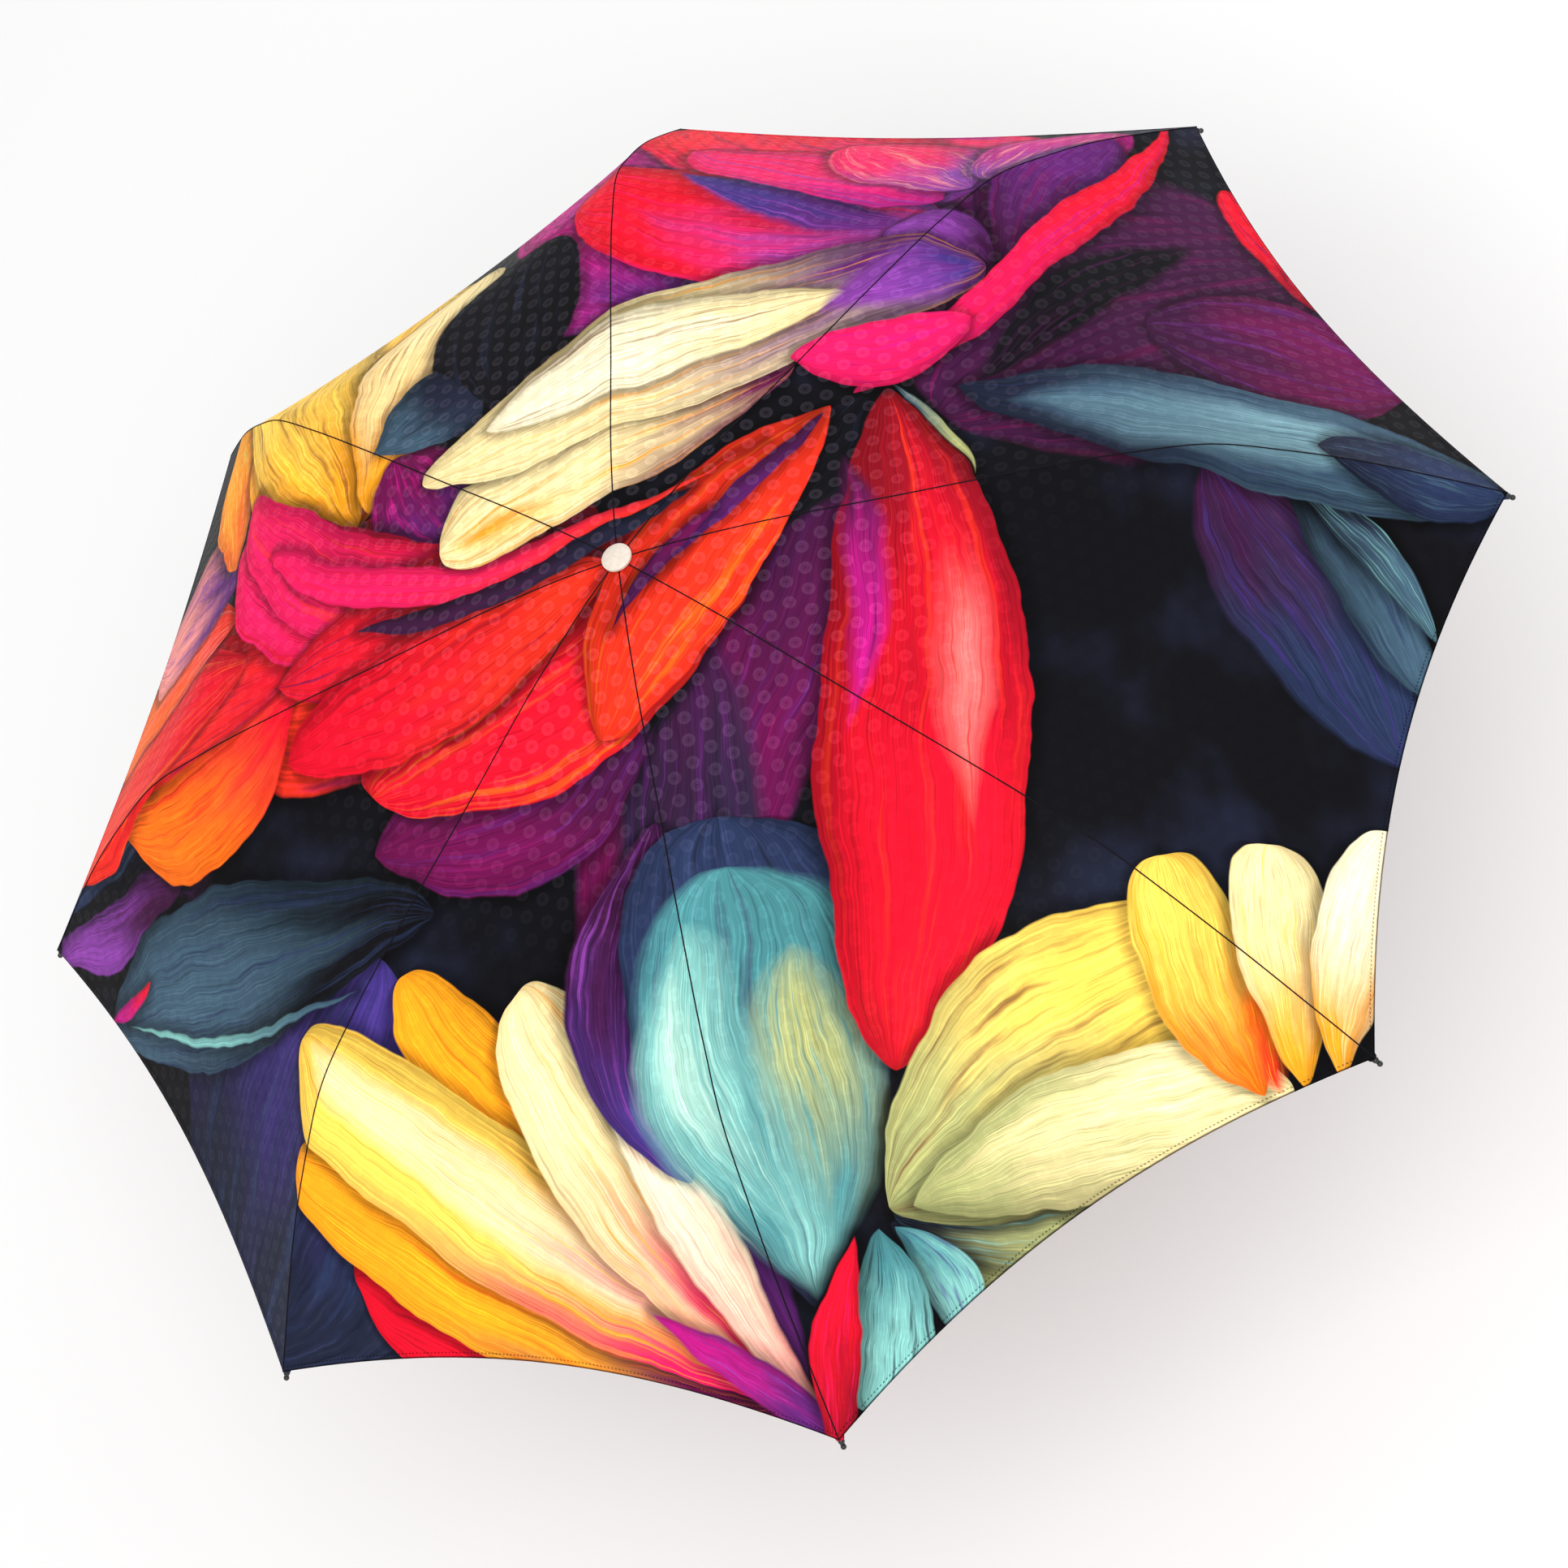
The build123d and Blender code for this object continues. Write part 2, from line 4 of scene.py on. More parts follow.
import bpy
import numpy as np
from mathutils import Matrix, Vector


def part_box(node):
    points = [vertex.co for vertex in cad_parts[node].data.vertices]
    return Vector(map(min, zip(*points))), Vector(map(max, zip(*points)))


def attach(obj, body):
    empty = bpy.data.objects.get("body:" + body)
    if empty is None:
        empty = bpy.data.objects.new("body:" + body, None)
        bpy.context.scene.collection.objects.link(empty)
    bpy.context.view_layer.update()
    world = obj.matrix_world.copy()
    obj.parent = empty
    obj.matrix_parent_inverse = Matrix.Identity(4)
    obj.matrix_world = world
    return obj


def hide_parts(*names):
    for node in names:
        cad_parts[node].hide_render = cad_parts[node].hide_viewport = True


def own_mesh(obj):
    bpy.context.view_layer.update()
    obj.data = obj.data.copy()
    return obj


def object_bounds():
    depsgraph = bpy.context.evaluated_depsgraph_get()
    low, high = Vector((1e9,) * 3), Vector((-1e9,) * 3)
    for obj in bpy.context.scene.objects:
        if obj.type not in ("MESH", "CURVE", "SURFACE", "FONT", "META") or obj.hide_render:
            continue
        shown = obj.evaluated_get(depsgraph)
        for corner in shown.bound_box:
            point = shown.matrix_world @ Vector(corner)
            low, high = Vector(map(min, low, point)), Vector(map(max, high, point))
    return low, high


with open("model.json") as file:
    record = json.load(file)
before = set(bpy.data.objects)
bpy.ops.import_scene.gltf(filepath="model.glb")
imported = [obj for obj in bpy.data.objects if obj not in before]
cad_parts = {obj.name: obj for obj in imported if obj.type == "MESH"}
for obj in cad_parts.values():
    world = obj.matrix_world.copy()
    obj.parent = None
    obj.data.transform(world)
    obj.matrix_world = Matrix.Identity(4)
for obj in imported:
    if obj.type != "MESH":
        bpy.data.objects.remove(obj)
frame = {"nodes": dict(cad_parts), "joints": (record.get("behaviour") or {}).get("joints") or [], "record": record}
cad_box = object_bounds()

MM = 0.001
RIBS = 8
STEP = 2 * pi / RIBS
HALF_STEP = STEP / 2

# Places read from the frame. Ribs run clockwise from +X, seen from above.
canopy_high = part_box("canopy")[1]
TIP_R = canopy_high.x
APEX_ABOVE_CLOTH = 9.35 * MM
APEX = canopy_high.z + APEX_ABOVE_CLOTH
HINGES = {j["name"]: Vector(j["pos_m"]) for j in frame["joints"] if j["type"] == "hinge"}
KNEE_R = HINGES["rib_1_middle_hinge"].x
ELBOW_R = HINGES["rib_1_tail_hinge"].x

# Height of the cloth over a rib, in millimetres from the cone's apex.
PROFILE = [(0, -9.2), (30, -10.6), (82, -17.0), (165, -34.3), (242, -50.2), (300, -64.7)]
PROFILE += [(349, -84.0), (380, -108.6), (417, -142.4), (450, -177.8), (485, -217.2)]
# How far the cloth sags inwards half way between two ribs.
SAG = [(0, 0.0), (80, 2.0), (200, 5.0), (310, 9.0), (360, 10.5), (430, 7.0), (485, 4.0)]
HEM_CURVE = 17.0 * MM
CAP_HOLE = 7.5 * MM
CLOTH = 0.35 * MM


# ---- smooth curves ---------------------------------------------------------------------------
# A curve runs on past its last point, to this share of its last stretch.
FURTHEST = 1.3
SMALL_STEP = 1e-4


def smooth_curve(points):
    """A curve through points, with the slope at each taken from its neighbours."""
    x = np.array([p[0] for p in points], float) * MM
    y = np.array([p[1] for p in points], float) * MM
    slope = np.gradient(y, x)

    def at(v):
        i = int(np.clip(np.searchsorted(x, v) - 1, 0, len(x) - 2))
        h = x[i + 1] - x[i]
        t = min(FURTHEST, (v - x[i]) / h)
        a = (2 * t**3 - 3 * t**2 + 1) * y[i] + (t**3 - 2 * t**2 + t) * h * slope[i]
        return a + (3 * t**2 - 2 * t**3) * y[i + 1] + (t**3 - t**2) * h * slope[i + 1]

    return at


rib_height = smooth_curve(PROFILE)
sag_depth = smooth_curve(SAG)
ARC_STEPS = 600
arc_r = np.linspace(0, TIP_R, ARC_STEPS)
arc_z = np.array([rib_height(r) for r in arc_r])
arc_s = np.concatenate([[0], np.cumsum(np.hypot(np.diff(arc_r), np.diff(arc_z)))])


def rib_azimuth(rib):
    return -STEP * (rib - 1)


def rib_point(azimuth, r):
    return np.array([r * cos(azimuth), r * sin(azimuth), APEX + rib_height(r)])


def hang(r, m):
    """Height lost by the sag at share m of the way from one rib to the next."""
    return sag_depth(r) * 4 * m * (1 - m)


def gore_point(azimuth, side, r, m):
    """A point of the gore on one side (+1 or -1) of a rib: m is 0 on the rib, 0.5 half way to the next."""
    a = rib_point(azimuth, r)
    b = rib_point(azimuth + side * STEP, r)
    fall = (rib_height(r + SMALL_STEP) - rib_height(r - SMALL_STEP)) / (2 * SMALL_STEP)
    middle = azimuth + side * HALF_STEP
    inward = np.array([fall * cos(middle), fall * sin(middle), -1.0])
    inward /= np.linalg.norm(inward)
    return a * (1 - m) + b * m + inward * hang(r, m)


def gore_normal(azimuth, side, r, m):
    d = SMALL_STEP
    across = gore_point(azimuth, side, r, m + d) - gore_point(azimuth, side, r, m - d)
    down = gore_point(azimuth, side, r + d, m) - gore_point(azimuth, side, r - d, m)
    n = np.cross(down, across) * side
    return n / np.linalg.norm(n)


def print_place(azimuth, side, r, m):
    """Where the point lies on the flat printed cloth, in metres from the crown."""
    s = float(np.interp(r, arc_r, arc_s))
    a = np.array([cos(azimuth), sin(azimuth)])
    far = azimuth + side * STEP
    b = np.array([cos(far), sin(far)])
    return s * (a * (1 - m) + b * m)


# ---- borders of the three bands that fold with the rib's three sections ------------------------
STRAIGHTNESS = 0.4


def crossways(r):
    """A border through radius r on the rib, between an arc round the crown and a straight line."""
    return lambda m: r * (1 + STRAIGHTNESS * (1 / (1 - (1 - cos(STEP)) * m) - 1))


def hem_radius(m):
    return TIP_R - HEM_CURVE * 4 * m * (1 - m)


BANDS = [
    ("top", lambda m: CAP_HOLE, crossways(KNEE_R)),
    ("middle", crossways(KNEE_R), crossways(ELBOW_R)),
    ("tail", crossways(ELBOW_R), hem_radius),
]
# How far the way that cloth spreads from the rib leans below level, in degrees.
LEAN = {"top": 6, "middle": 12, "tail": 17}


# ---- node helpers ------------------------------------------------------------------------------
class Nodes:
    """Short calls for building one node tree."""

    def __init__(self, tree):
        self.tree = tree

    def add(self, kind, **settings):
        node = self.tree.nodes.new(kind)
        for key, value in settings.items():
            setattr(node, key, value)
        return node

    def feed(self, socket, value):
        if hasattr(value, "is_output"):
            self.tree.links.new(value, socket)
        elif value is not None:
            socket.default_value = value

    def math(self, operation, a, b=None, c=None, clamp=False):
        node = self.add("ShaderNodeMath", operation=operation, use_clamp=clamp)
        for socket, value in zip(node.inputs, (a, b, c)):
            self.feed(socket, value)
        return node.outputs[0]

    def vector(self, operation, a, b=None, scale=None):
        node = self.add("ShaderNodeVectorMath", operation=operation)
        self.feed(node.inputs[0], a)
        self.feed(node.inputs[1], b)
        if scale is not None:
            self.feed(node.inputs["Scale"], scale)
        return node.outputs["Value" if operation in ("LENGTH", "DOT_PRODUCT") else "Vector"]

    def split(self, vector):
        node = self.add("ShaderNodeSeparateXYZ")
        self.feed(node.inputs[0], vector)
        return node.outputs

    def join(self, x, y, z=0.0):
        node = self.add("ShaderNodeCombineXYZ")
        for socket, value in zip(node.inputs, (x, y, z)):
            self.feed(socket, value)
        return node.outputs[0]

    def noise(self, vector, scale, detail=2.0, roughness=0.5, output=0):
        node = self.add("ShaderNodeTexNoise")
        self.feed(node.inputs["Vector"], vector)
        for name, value in (("Scale", scale), ("Detail", detail), ("Roughness", roughness)):
            node.inputs[name].default_value = value
        return node.outputs[output]

    def mix(self, factor, a, b, blend="MIX"):
        node = self.add("ShaderNodeMix", data_type="RGBA", blend_type=blend)
        self.feed(node.inputs[0], factor)
        for socket, value in ((node.inputs[6], a), (node.inputs[7], b)):
            self.feed(socket, (*value, 1) if isinstance(value, tuple) and len(value) == 3 else value)
        return node.outputs[2]

    def ramp(self, value, low, high):
        """0 below low, 1 above high, smooth between."""
        node = self.add("ShaderNodeMapRange", interpolation_type="SMOOTHSTEP")
        self.feed(node.inputs[0], value)
        self.feed(node.inputs[1], low)
        self.feed(node.inputs[2], high)
        return node.outputs[0]

    def bump(self, height, strength, distance):
        node = self.add("ShaderNodeBump")
        node.inputs["Strength"].default_value = strength
        node.inputs["Distance"].default_value = distance
        self.feed(node.inputs["Height"], height)
        return node.outputs[0]


def new_material(name, **values):
    """A material, its Principled shader with constant values set on the sockets, and a Nodes helper."""
    material = bpy.data.materials.new(name)
    material.use_nodes = True
    shader = material.node_tree.nodes["Principled BSDF"]
    for key, value in values.items():
        socket = shader.inputs[key.replace("_", " ")]
        socket.default_value = (*value, 1) if isinstance(value, tuple) and len(value) == 3 else value
    return material, shader, Nodes(material.node_tree)


# ---- the printed satin -------------------------------------------------------------------------
PALETTE = {
    "black": (0.004, 0.004, 0.006),
    "ink": (0.012, 0.015, 0.034),
    "navy": (0.020, 0.032, 0.085),
    "indigo": (0.050, 0.028, 0.190),
    "slate": (0.050, 0.100, 0.150),
    "teal": (0.060, 0.230, 0.250),
    "mist": (0.150, 0.280, 0.330),
    "pale_teal": (0.210, 0.500, 0.460),
    "mint": (0.520, 0.780, 0.640),
    "olive": (0.400, 0.420, 0.160),
    "plum": (0.045, 0.006, 0.040),
    "wine": (0.130, 0.004, 0.060),
    "purple": (0.110, 0.014, 0.150),
    "violet": (0.230, 0.045, 0.330),
    "magenta": (0.480, 0.008, 0.200),
    "pink": (0.840, 0.010, 0.110),
    "rose": (0.900, 0.300, 0.270),
    "red": (0.760, 0.005, 0.022),
    "deep_red": (0.300, 0.004, 0.014),
    "scarlet": (0.850, 0.030, 0.012),
    "orange": (0.930, 0.150, 0.008),
    "amber": (0.960, 0.360, 0.012),
    "yellow": (0.970, 0.620, 0.090),
    "cream": (0.950, 0.770, 0.380),
    "ivory": (0.960, 0.860, 0.580),
    "brown": (0.190, 0.055, 0.020),
}

# Petals in painting order, in millimetres on the flat cloth, u along rib 1 and v a quarter turn left of it:
# base, tip, half width, bend to the left, fullness at the base, roundness of the tip, base colour,
# tip colour, streak colour, softness of the edge.
PETALS = [
    # dark ground
    ((80, -150), (-290, 75), 72, 10, 0.7, 0.8, "plum", "wine", "purple", 6),
    ((-30, -30), (-320, 20), 50, 10, 0.7, 0.7, "plum", "ink", "purple", 12),
    ((-60, -20), (-120, 195), 58, 34, 0.7, 0.7, "plum", "wine", "purple", 2),
    ((60, -200), (230, -470), 150, 0, 0.5, 0.5, "plum", "plum", "wine", 18),
    ((120, -330), (100, -500), 68, 0, 0.6, 0.5, "plum", "wine", "purple", 3),
    ((-40, 300), (-30, 380), 50, 0, 0.6, 0.6, "plum", "black", "purple", 20),
    ((84, -158), (-10, -98), 26, 0, 0.6, 0.7, "black", "black", "ink", 8),
    ((-50, -50), (-128, 8), 13, 0, 0.6, 0.7, "black", "black", "ink", 9),
    # upper left leaves
    ((-190, 195), (-360, 440), 150, 6, 0.6, 0.6, "indigo", "ink", "navy", 5),
    ((-172, 150), (-84, 500), 56, 12, 0.8, 0.7, "black", "slate", "navy", 1.2),
    ((-204, 215), (-96, 480), 4, 24, 0.6, 0.8, "slate", "pale_teal", "slate", 1.0),
    ((-60, 350), (-8, 545), 28, 4, 0.8, 0.6, "plum", "violet", "plum", 1.5),
    ((-36, 320), (10, 550), 22, -4, 0.8, 0.6, "black", "black", "ink", 1.5),
    ((-22, 300), (18, 552), 30, -12, 0.8, 0.7, "ink", "navy", "slate", 1.5),
    ((-96, 430), (-82, 500), 6, 2, 0.7, 0.7, "red", "magenta", "wine", 1.0),
    # yellow spray on the left
    ((-520, 10), (-235, 200), 92, 10, 0.6, 0.6, "purple", "indigo", "ink", 4),
    ((-520, 20), (-356, 298), 58, 18, 0.7, 0.5, "magenta", "red", "deep_red", 1.0),
    ((-525, 15), (-282, 292), 47, 27, 0.9, 0.42, "wine", "amber", "orange", 1.0),
    ((-480, 40), (-203, 184), 38, 8, 0.9, 0.45, "orange", "amber", "orange", 1.0),
    ((-525, 12), (-214, 268), 48, 18, 0.9, 0.5, "pink", "yellow", "amber", 1.0),
    ((-490, 40), (-219, 262), 26, 12, 0.9, 0.6, "rose", "cream", "yellow", 12),
    ((-532, 4), (-240, 112), 44, 18, 0.9, 0.42, "pink", "cream", "amber", 1.0),
    ((-538, 2), (-290, 66), 24, 7, 0.9, 0.6, "rose", "ivory", "rose", 3),
    ((-545, 0), (-440, 100), 15, -2, 0.6, 0.9, "purple", "magenta", "violet", 2),
    # teal bud
    ((-380, 35), (-170, 0), 46, 26, 0.7, 0.7, "indigo", "plum", "violet", 2),
    ((-472, -18), (-178, -34), 84, -4, 1.0, 0.42, "ink", "navy", "ink", 1.0),
    ((-468, -20), (-205, -30), 80, -2, 1.0, 0.5, "pale_teal", "teal", "slate", 16),
    ((-460, -20), (-232, -2), 46, 22, 1.0, 0.7, "teal", "pale_teal", "mint", 26),
    ((-425, -16), (-252, 14), 20, 20, 0.9, 0.8, "pale_teal", "mint", "teal", 18),
    ((-445, -36), (-258, -58), 40, -10, 0.9, 0.7, "teal", "olive", "teal", 28),
    # long red petal
    ((88, -170), (-344, -102), 65, 30, 0.8, 0.65, "deep_red", "red", "scarlet", 1.0),
    ((-10, -192), (-225, -176), 24, 8, 0.9, 1.2, "red", "rose", "scarlet", 30),
    ((40, -140), (-150, -118), 16, 12, 0.7, 0.9, "plum", "magenta", "wine", 9),
    ((92, -172), (4, -214), 4, 6, 0.7, 0.9, "slate", "olive", "ink", 1.0),
    # yellow flower at the lower left
    ((-428, -74), (-470, -160), 30, -6, 0.7, 0.5, "ink", "olive", "navy", 1.0),
    ((-422, -78), (-440, -240), 44, -4, 0.6, 0.5, "ink", "olive", "pale_teal", 1.0),
    ((-418, -76), (-340, -322), 80, 16, 0.7, 0.45, "olive", "yellow", "brown", 1.0),
    ((-420, -90), (-402, -330), 44, 8, 0.8, 0.5, "olive", "cream", "olive", 1.0),
    ((-402, -312), (-252, -284), 33, 7, 0.7, 0.4, "orange", "yellow", "amber", 1.0),
    ((-402, -322), (-340, -318), 13, 2, 0.6, 0.7, "scarlet", "orange", "amber", 8),
    ((-400, -338), (-248, -350), 30, 0, 0.7, 0.4, "amber", "cream", "yellow", 1.0),
    ((-400, -364), (-240, -430), 26, 10, 0.7, 0.4, "amber", "ivory", "cream", 1.0),
    ((-430, -76), (-500, -98), 19, 8, 0.8, 0.45, "teal", "pale_teal", "indigo", 1.0),
    ((-430, -66), (-538, -28), 27, 9, 0.8, 0.4, "teal", "pale_teal", "ink", 1.0),
    ((-558, 5), (-434, -50), 14, 2, 0.5, 0.9, "deep_red", "red", "pink", 1.0),
    # slate leaf at the bottom
    ((-10, -350), (-195, -450), 54, 8, 0.6, 0.7, "plum", "navy", "indigo", 6),
    ((0, -400), (-150, -474), 28, 4, 0.7, 0.7, "black", "slate", "navy", 2),
    ((-20, -405), (-108, -486), 15, 9, 0.7, 0.8, "ink", "slate", "pale_teal", 1.0),
    ((82, -212), (2, -548), 47, -20, 0.8, 0.65, "ink", "slate", "navy", 1.2),
    ((66, -240), (14, -490), 34, -16, 0.8, 0.8, "slate", "mist", "slate", 14),
    ((12, -420), (-4, -552), 27, -3, 0.7, 0.7, "ink", "navy", "slate", 1.5),
    # red flower above the crown
    ((0, 0), (70, 360), 96, 10, 0.5, 0.5, "deep_red", "scarlet", "wine", 3),
    ((70, -120), (-82, 190), 66, 44, 0.8, 0.5, "scarlet", "red", "orange", 1.0),
    ((10, 0), (-72, 130), 11, 10, 0.7, 0.9, "amber", "orange", "brown", 4),
    ((20, 225), (-8, 396), 58, 22, 0.8, 0.5, "red", "orange", "scarlet", 1.0),
    ((40, 230), (60, 410), 54, 0, 0.8, 0.6, "red", "scarlet", "wine", 1.0),
    ((60, 280), (82, 525), 76, 12, 0.7, 0.5, "red", "scarlet", "orange", 1.0),
    ((110, 290), (142, 490), 50, -8, 0.8, 0.6, "scarlet", "orange", "rose", 1.0),
    ((150, 290), (215, 450), 54, 4, 0.8, 0.6, "purple", "rose", "violet", 2),
    ((120, 190), (400, 210), 100, 6, 0.6, 0.4, "orange", "yellow", "amber", 1.5),
    ((160, 300), (340, 330), 36, 8, 0.8, 0.6, "orange", "amber", "yellow", 1.0),
    ((110, 190), (275, 285), 34, 8, 0.8, 0.5, "scarlet", "amber", "yellow", 1.0),
    ((120, 190), (370, 262), 58, 6, 0.8, 0.5, "amber", "yellow", "brown", 1.0),
    ((125, 180), (365, 122), 48, -8, 0.8, 0.45, "amber", "cream", "brown", 1.0),
    ((60, 110), (160, 155), 42, 4, 0.7, 0.6, "purple", "wine", "magenta", 4),
    ((30, 80), (170, 292), 50, 34, 0.8, 0.5, "red", "pink", "red", 1.0),
    ((16, 0), (200, 284), 38, 60, 0.7, 0.5, "red", "pink", "scarlet", 1.0),
    ((-2, 8), (26, 250), 48, -6, 0.7, 0.7, "deep_red", "red", "wine", 1.0),
    ((-2, 8), (-34, 246), 44, 8, 0.7, 0.7, "scarlet", "red", "deep_red", 1.0),
    # round the crown
    ((80, -136), (-108, 30), 44, -10, 0.8, 0.65, "scarlet", "scarlet", "orange", 1.0),
    ((76, -132), (-22, -2), 7, 5, 0.6, 0.8, "plum", "purple", "plum", 1.0),
    ((24, -62), (-44, 12), 6, -3, 0.6, 0.8, "wine", "plum", "purple", 1.0),
    # right hand side
    ((215, -230), (400, 10), 100, 0, 0.6, 0.5, "plum", "magenta", "purple", 6),
    ((240, -240), (430, -130), 100, -10, 0.6, 0.5, "purple", "pink", "violet", 6),
    ((215, -70), (500, 70), 72, 10, 0.6, 0.5, "purple", "magenta", "wine", 3),
    ((260, -190), (560, -30), 92, -6, 0.6, 0.4, "magenta", "red", "wine", 3),
    ((190, -170), (215, 30), 40, 0, 0.7, 0.7, "indigo", "violet", "purple", 3),
    ((200, -40), (330, 56), 60, 6, 0.7, 0.6, "purple", "magenta", "wine", 3),
    ((168, 78), (328, 62), 54, 12, 0.6, 0.5, "black", "black", "ink", 1.5),
    ((202, 106), (168, 174), 40, -3, 0.25, 0.9, "ink", "slate", "ink", 1.0),
    ((215, -215), (352, 30), 62, 8, 0.7, 0.5, "violet", "red", "pink", 1.2),
    ((225, -190), (362, -40), 20, 10, 0.7, 0.8, "purple", "indigo", "violet", 5),
    ((240, -215), (415, -40), 44, -12, 0.7, 0.6, "magenta", "pink", "violet", 2),
    ((245, -235), (425, -150), 46, 0, 0.7, 0.6, "violet", "pink", "rose", 2),
    ((245, -250), (395, -318), 52, 0, 0.7, 0.6, "violet", "magenta", "rose", 2),
    ((170, -250), (330, -330), 36, 4, 0.7, 0.7, "plum", "purple", "wine", 1.5),
    ((170, -240), (225, -176), 28, -4, 0.7, 0.6, "plum", "violet", "purple", 2),
    # red and dark bands that curl from the crown under the cream petals
    ((40, -50), (36, 190), 12, 24, 0.8, 0.8, "ink", "plum", "ink", 1.0),
    ((63, -95), (141, 263), 16, 70, 1.4, 0.4, "scarlet", "pink", "red", 1.0),
    # cream petals
    ((120, -115), (64, 126), 42, 2, 0.7, 0.5, "wine", "cream", "amber", 1.0),
    ((62, 10), (66, 120), 15, 2, 0.9, 0.8, "cream", "amber", "orange", 12),
    ((178, -236), (122, 132), 55, -18, 0.55, 0.6, "purple", "cream", "amber", 1.0),
    ((172, -150), (152, 90), 32, -14, 0.7, 0.6, "cream", "ivory", "brown", 2),
    ((180, -234), (160, -130), 30, -6, 0.7, 0.9, "indigo", "violet", "purple", 12),
    # red sliver
    ((84, -222), (225, -372), 27, 0, 0.6, 0.7, "black", "black", "plum", 9),
    ((86, -150), (376, -370), 16, -37, 0.6, 0.8, "pink", "red", "magenta", 1.0),
    ((128, -112), (138, -222), 26, -18, 0.7, 0.7, "pink", "pink", "magenta", 1.0),
    ((175, -458), (308, -400), 28, -6, 0.7, 0.6, "deep_red", "red", "wine", 3),
]
# How far the petals' edges wander, and the narrowest half width that streaks are measured against.
WANDER = 14.0
NARROWEST = 2.0
HAIR = 1e-6


def petal_group():
    """One petal laid over what lies under it, at a place on the flat cloth in millimetres."""
    group = bpy.data.node_groups.new("petal", "ShaderNodeTree")
    face = group.interface
    for name in ("Place", "Base", "Direction"):
        face.new_socket(name, in_out="INPUT", socket_type="NodeSocketVector")
    for name in ("Length", "Width", "Bend", "Base power", "Tip power", "Peak", "Seed", "Soft"):
        face.new_socket(name, in_out="INPUT", socket_type="NodeSocketFloat")
    for name in ("Base colour", "Tip colour", "Streak colour", "Under"):
        face.new_socket(name, in_out="INPUT", socket_type="NodeSocketColor")
    face.new_socket("Colour", in_out="OUTPUT", socket_type="NodeSocketColor")
    n = Nodes(group)
    given = n.add("NodeGroupInput").outputs
    # A hair of the colour below is added, so that petals are worked out one after another.
    waited = n.vector("ADD", given["Place"], n.vector("SCALE", given["Under"], scale=HAIR))
    local = n.vector("SUBTRACT", waited, given["Base"])
    forward = n.split(given["Direction"])
    left = n.join(n.math("MULTIPLY", forward[1], -1.0), forward[0])
    along = n.vector("DOT_PRODUCT", local, given["Direction"])
    t = n.math("DIVIDE", along, given["Length"], clamp=True)
    rest = n.math("SUBTRACT", 1.0, t)
    curve = n.math("MULTIPLY", n.math("MULTIPLY", t, rest), n.math("MULTIPLY", given["Bend"], 4.0))
    across = n.math("SUBTRACT", n.vector("DOT_PRODUCT", local, left), curve)
    fill = n.math("POWER", t, given["Base power"])
    swell = n.math("MULTIPLY", fill, n.math("POWER", rest, given["Tip power"]))
    half = n.math("MULTIPLY", n.math("DIVIDE", swell, given["Peak"]), given["Width"])
    lateral = n.math("DIVIDE", across, n.math("MAXIMUM", half, NARROWEST))
    past = n.math("MAXIMUM", n.math("SUBTRACT", along, given["Length"]), n.math("MULTIPLY", along, -1.0))
    inside = n.math("SUBTRACT", half, n.math("ABSOLUTE", across))
    inside = n.math("SUBTRACT", inside, n.math("MAXIMUM", past, 0.0))
    mask = n.math("DIVIDE", inside, given["Soft"], clamp=True)

    def strokes(along_it, across_it, detail, roughness=0.5):
        """Noise drawn out along the petal: how often it changes along it, and how often across."""
        place = (n.math("MULTIPLY", t, along_it), n.math("MULTIPLY", lateral, across_it), given["Seed"])
        return n.noise(n.join(*place), 1.0, detail, roughness)

    broad = strokes(1.8, 1.6, 3.0)
    streak = strokes(2.4, 9.0, 3.0, 0.6)
    hair = strokes(5.0, 42.0, 1.0)
    shift = n.math("ADD", t, n.math("MULTIPLY", n.math("SUBTRACT", broad, 0.5), 0.9))
    colour = n.mix(n.ramp(shift, 0.05, 0.75), given["Base colour"], given["Tip colour"])
    colour = n.mix(n.math("MULTIPLY", n.ramp(streak, 0.50, 0.72), 0.75), colour, given["Streak colour"])
    fine = n.math("MULTIPLY", n.ramp(hair, 0.54, 0.74), 0.38)
    colour = n.mix(fine, colour, (0.12, 0.10, 0.12), "MULTIPLY")
    pale = n.mix(1.0, colour, (1.45, 1.4, 1.35), "MULTIPLY")
    colour = n.mix(n.ramp(hair, 0.46, 0.30), colour, pale)
    # Petals with a soft edge are only a change of colour: no dark rim and no shade cast.
    crisp = n.ramp(given["Soft"], 8.0, 2.0)
    rim = n.ramp(inside, n.math("MULTIPLY_ADD", given["Width"], 0.45, 1.0), 0.0)
    edge = n.math("SUBTRACT", 1.0, n.math("MULTIPLY", rim, crisp))
    side = n.math("MULTIPLY", n.ramp(lateral, -1.1, 1.1), 0.34)
    light = n.math("ADD", n.math("MULTIPLY_ADD", edge, 0.34, 0.56), side)
    colour = n.vector("SCALE", colour, scale=light)
    cast = n.math("MULTIPLY", n.ramp(inside, -12.0, 0.0), n.math("MULTIPLY", crisp, 0.55))
    under = n.vector("SCALE", given["Under"], scale=n.math("SUBTRACT", 1.0, cast))
    n.feed(n.add("NodeGroupOutput").inputs[0], n.mix(mask, under, colour))
    return group


PETAL_GROUP = petal_group()


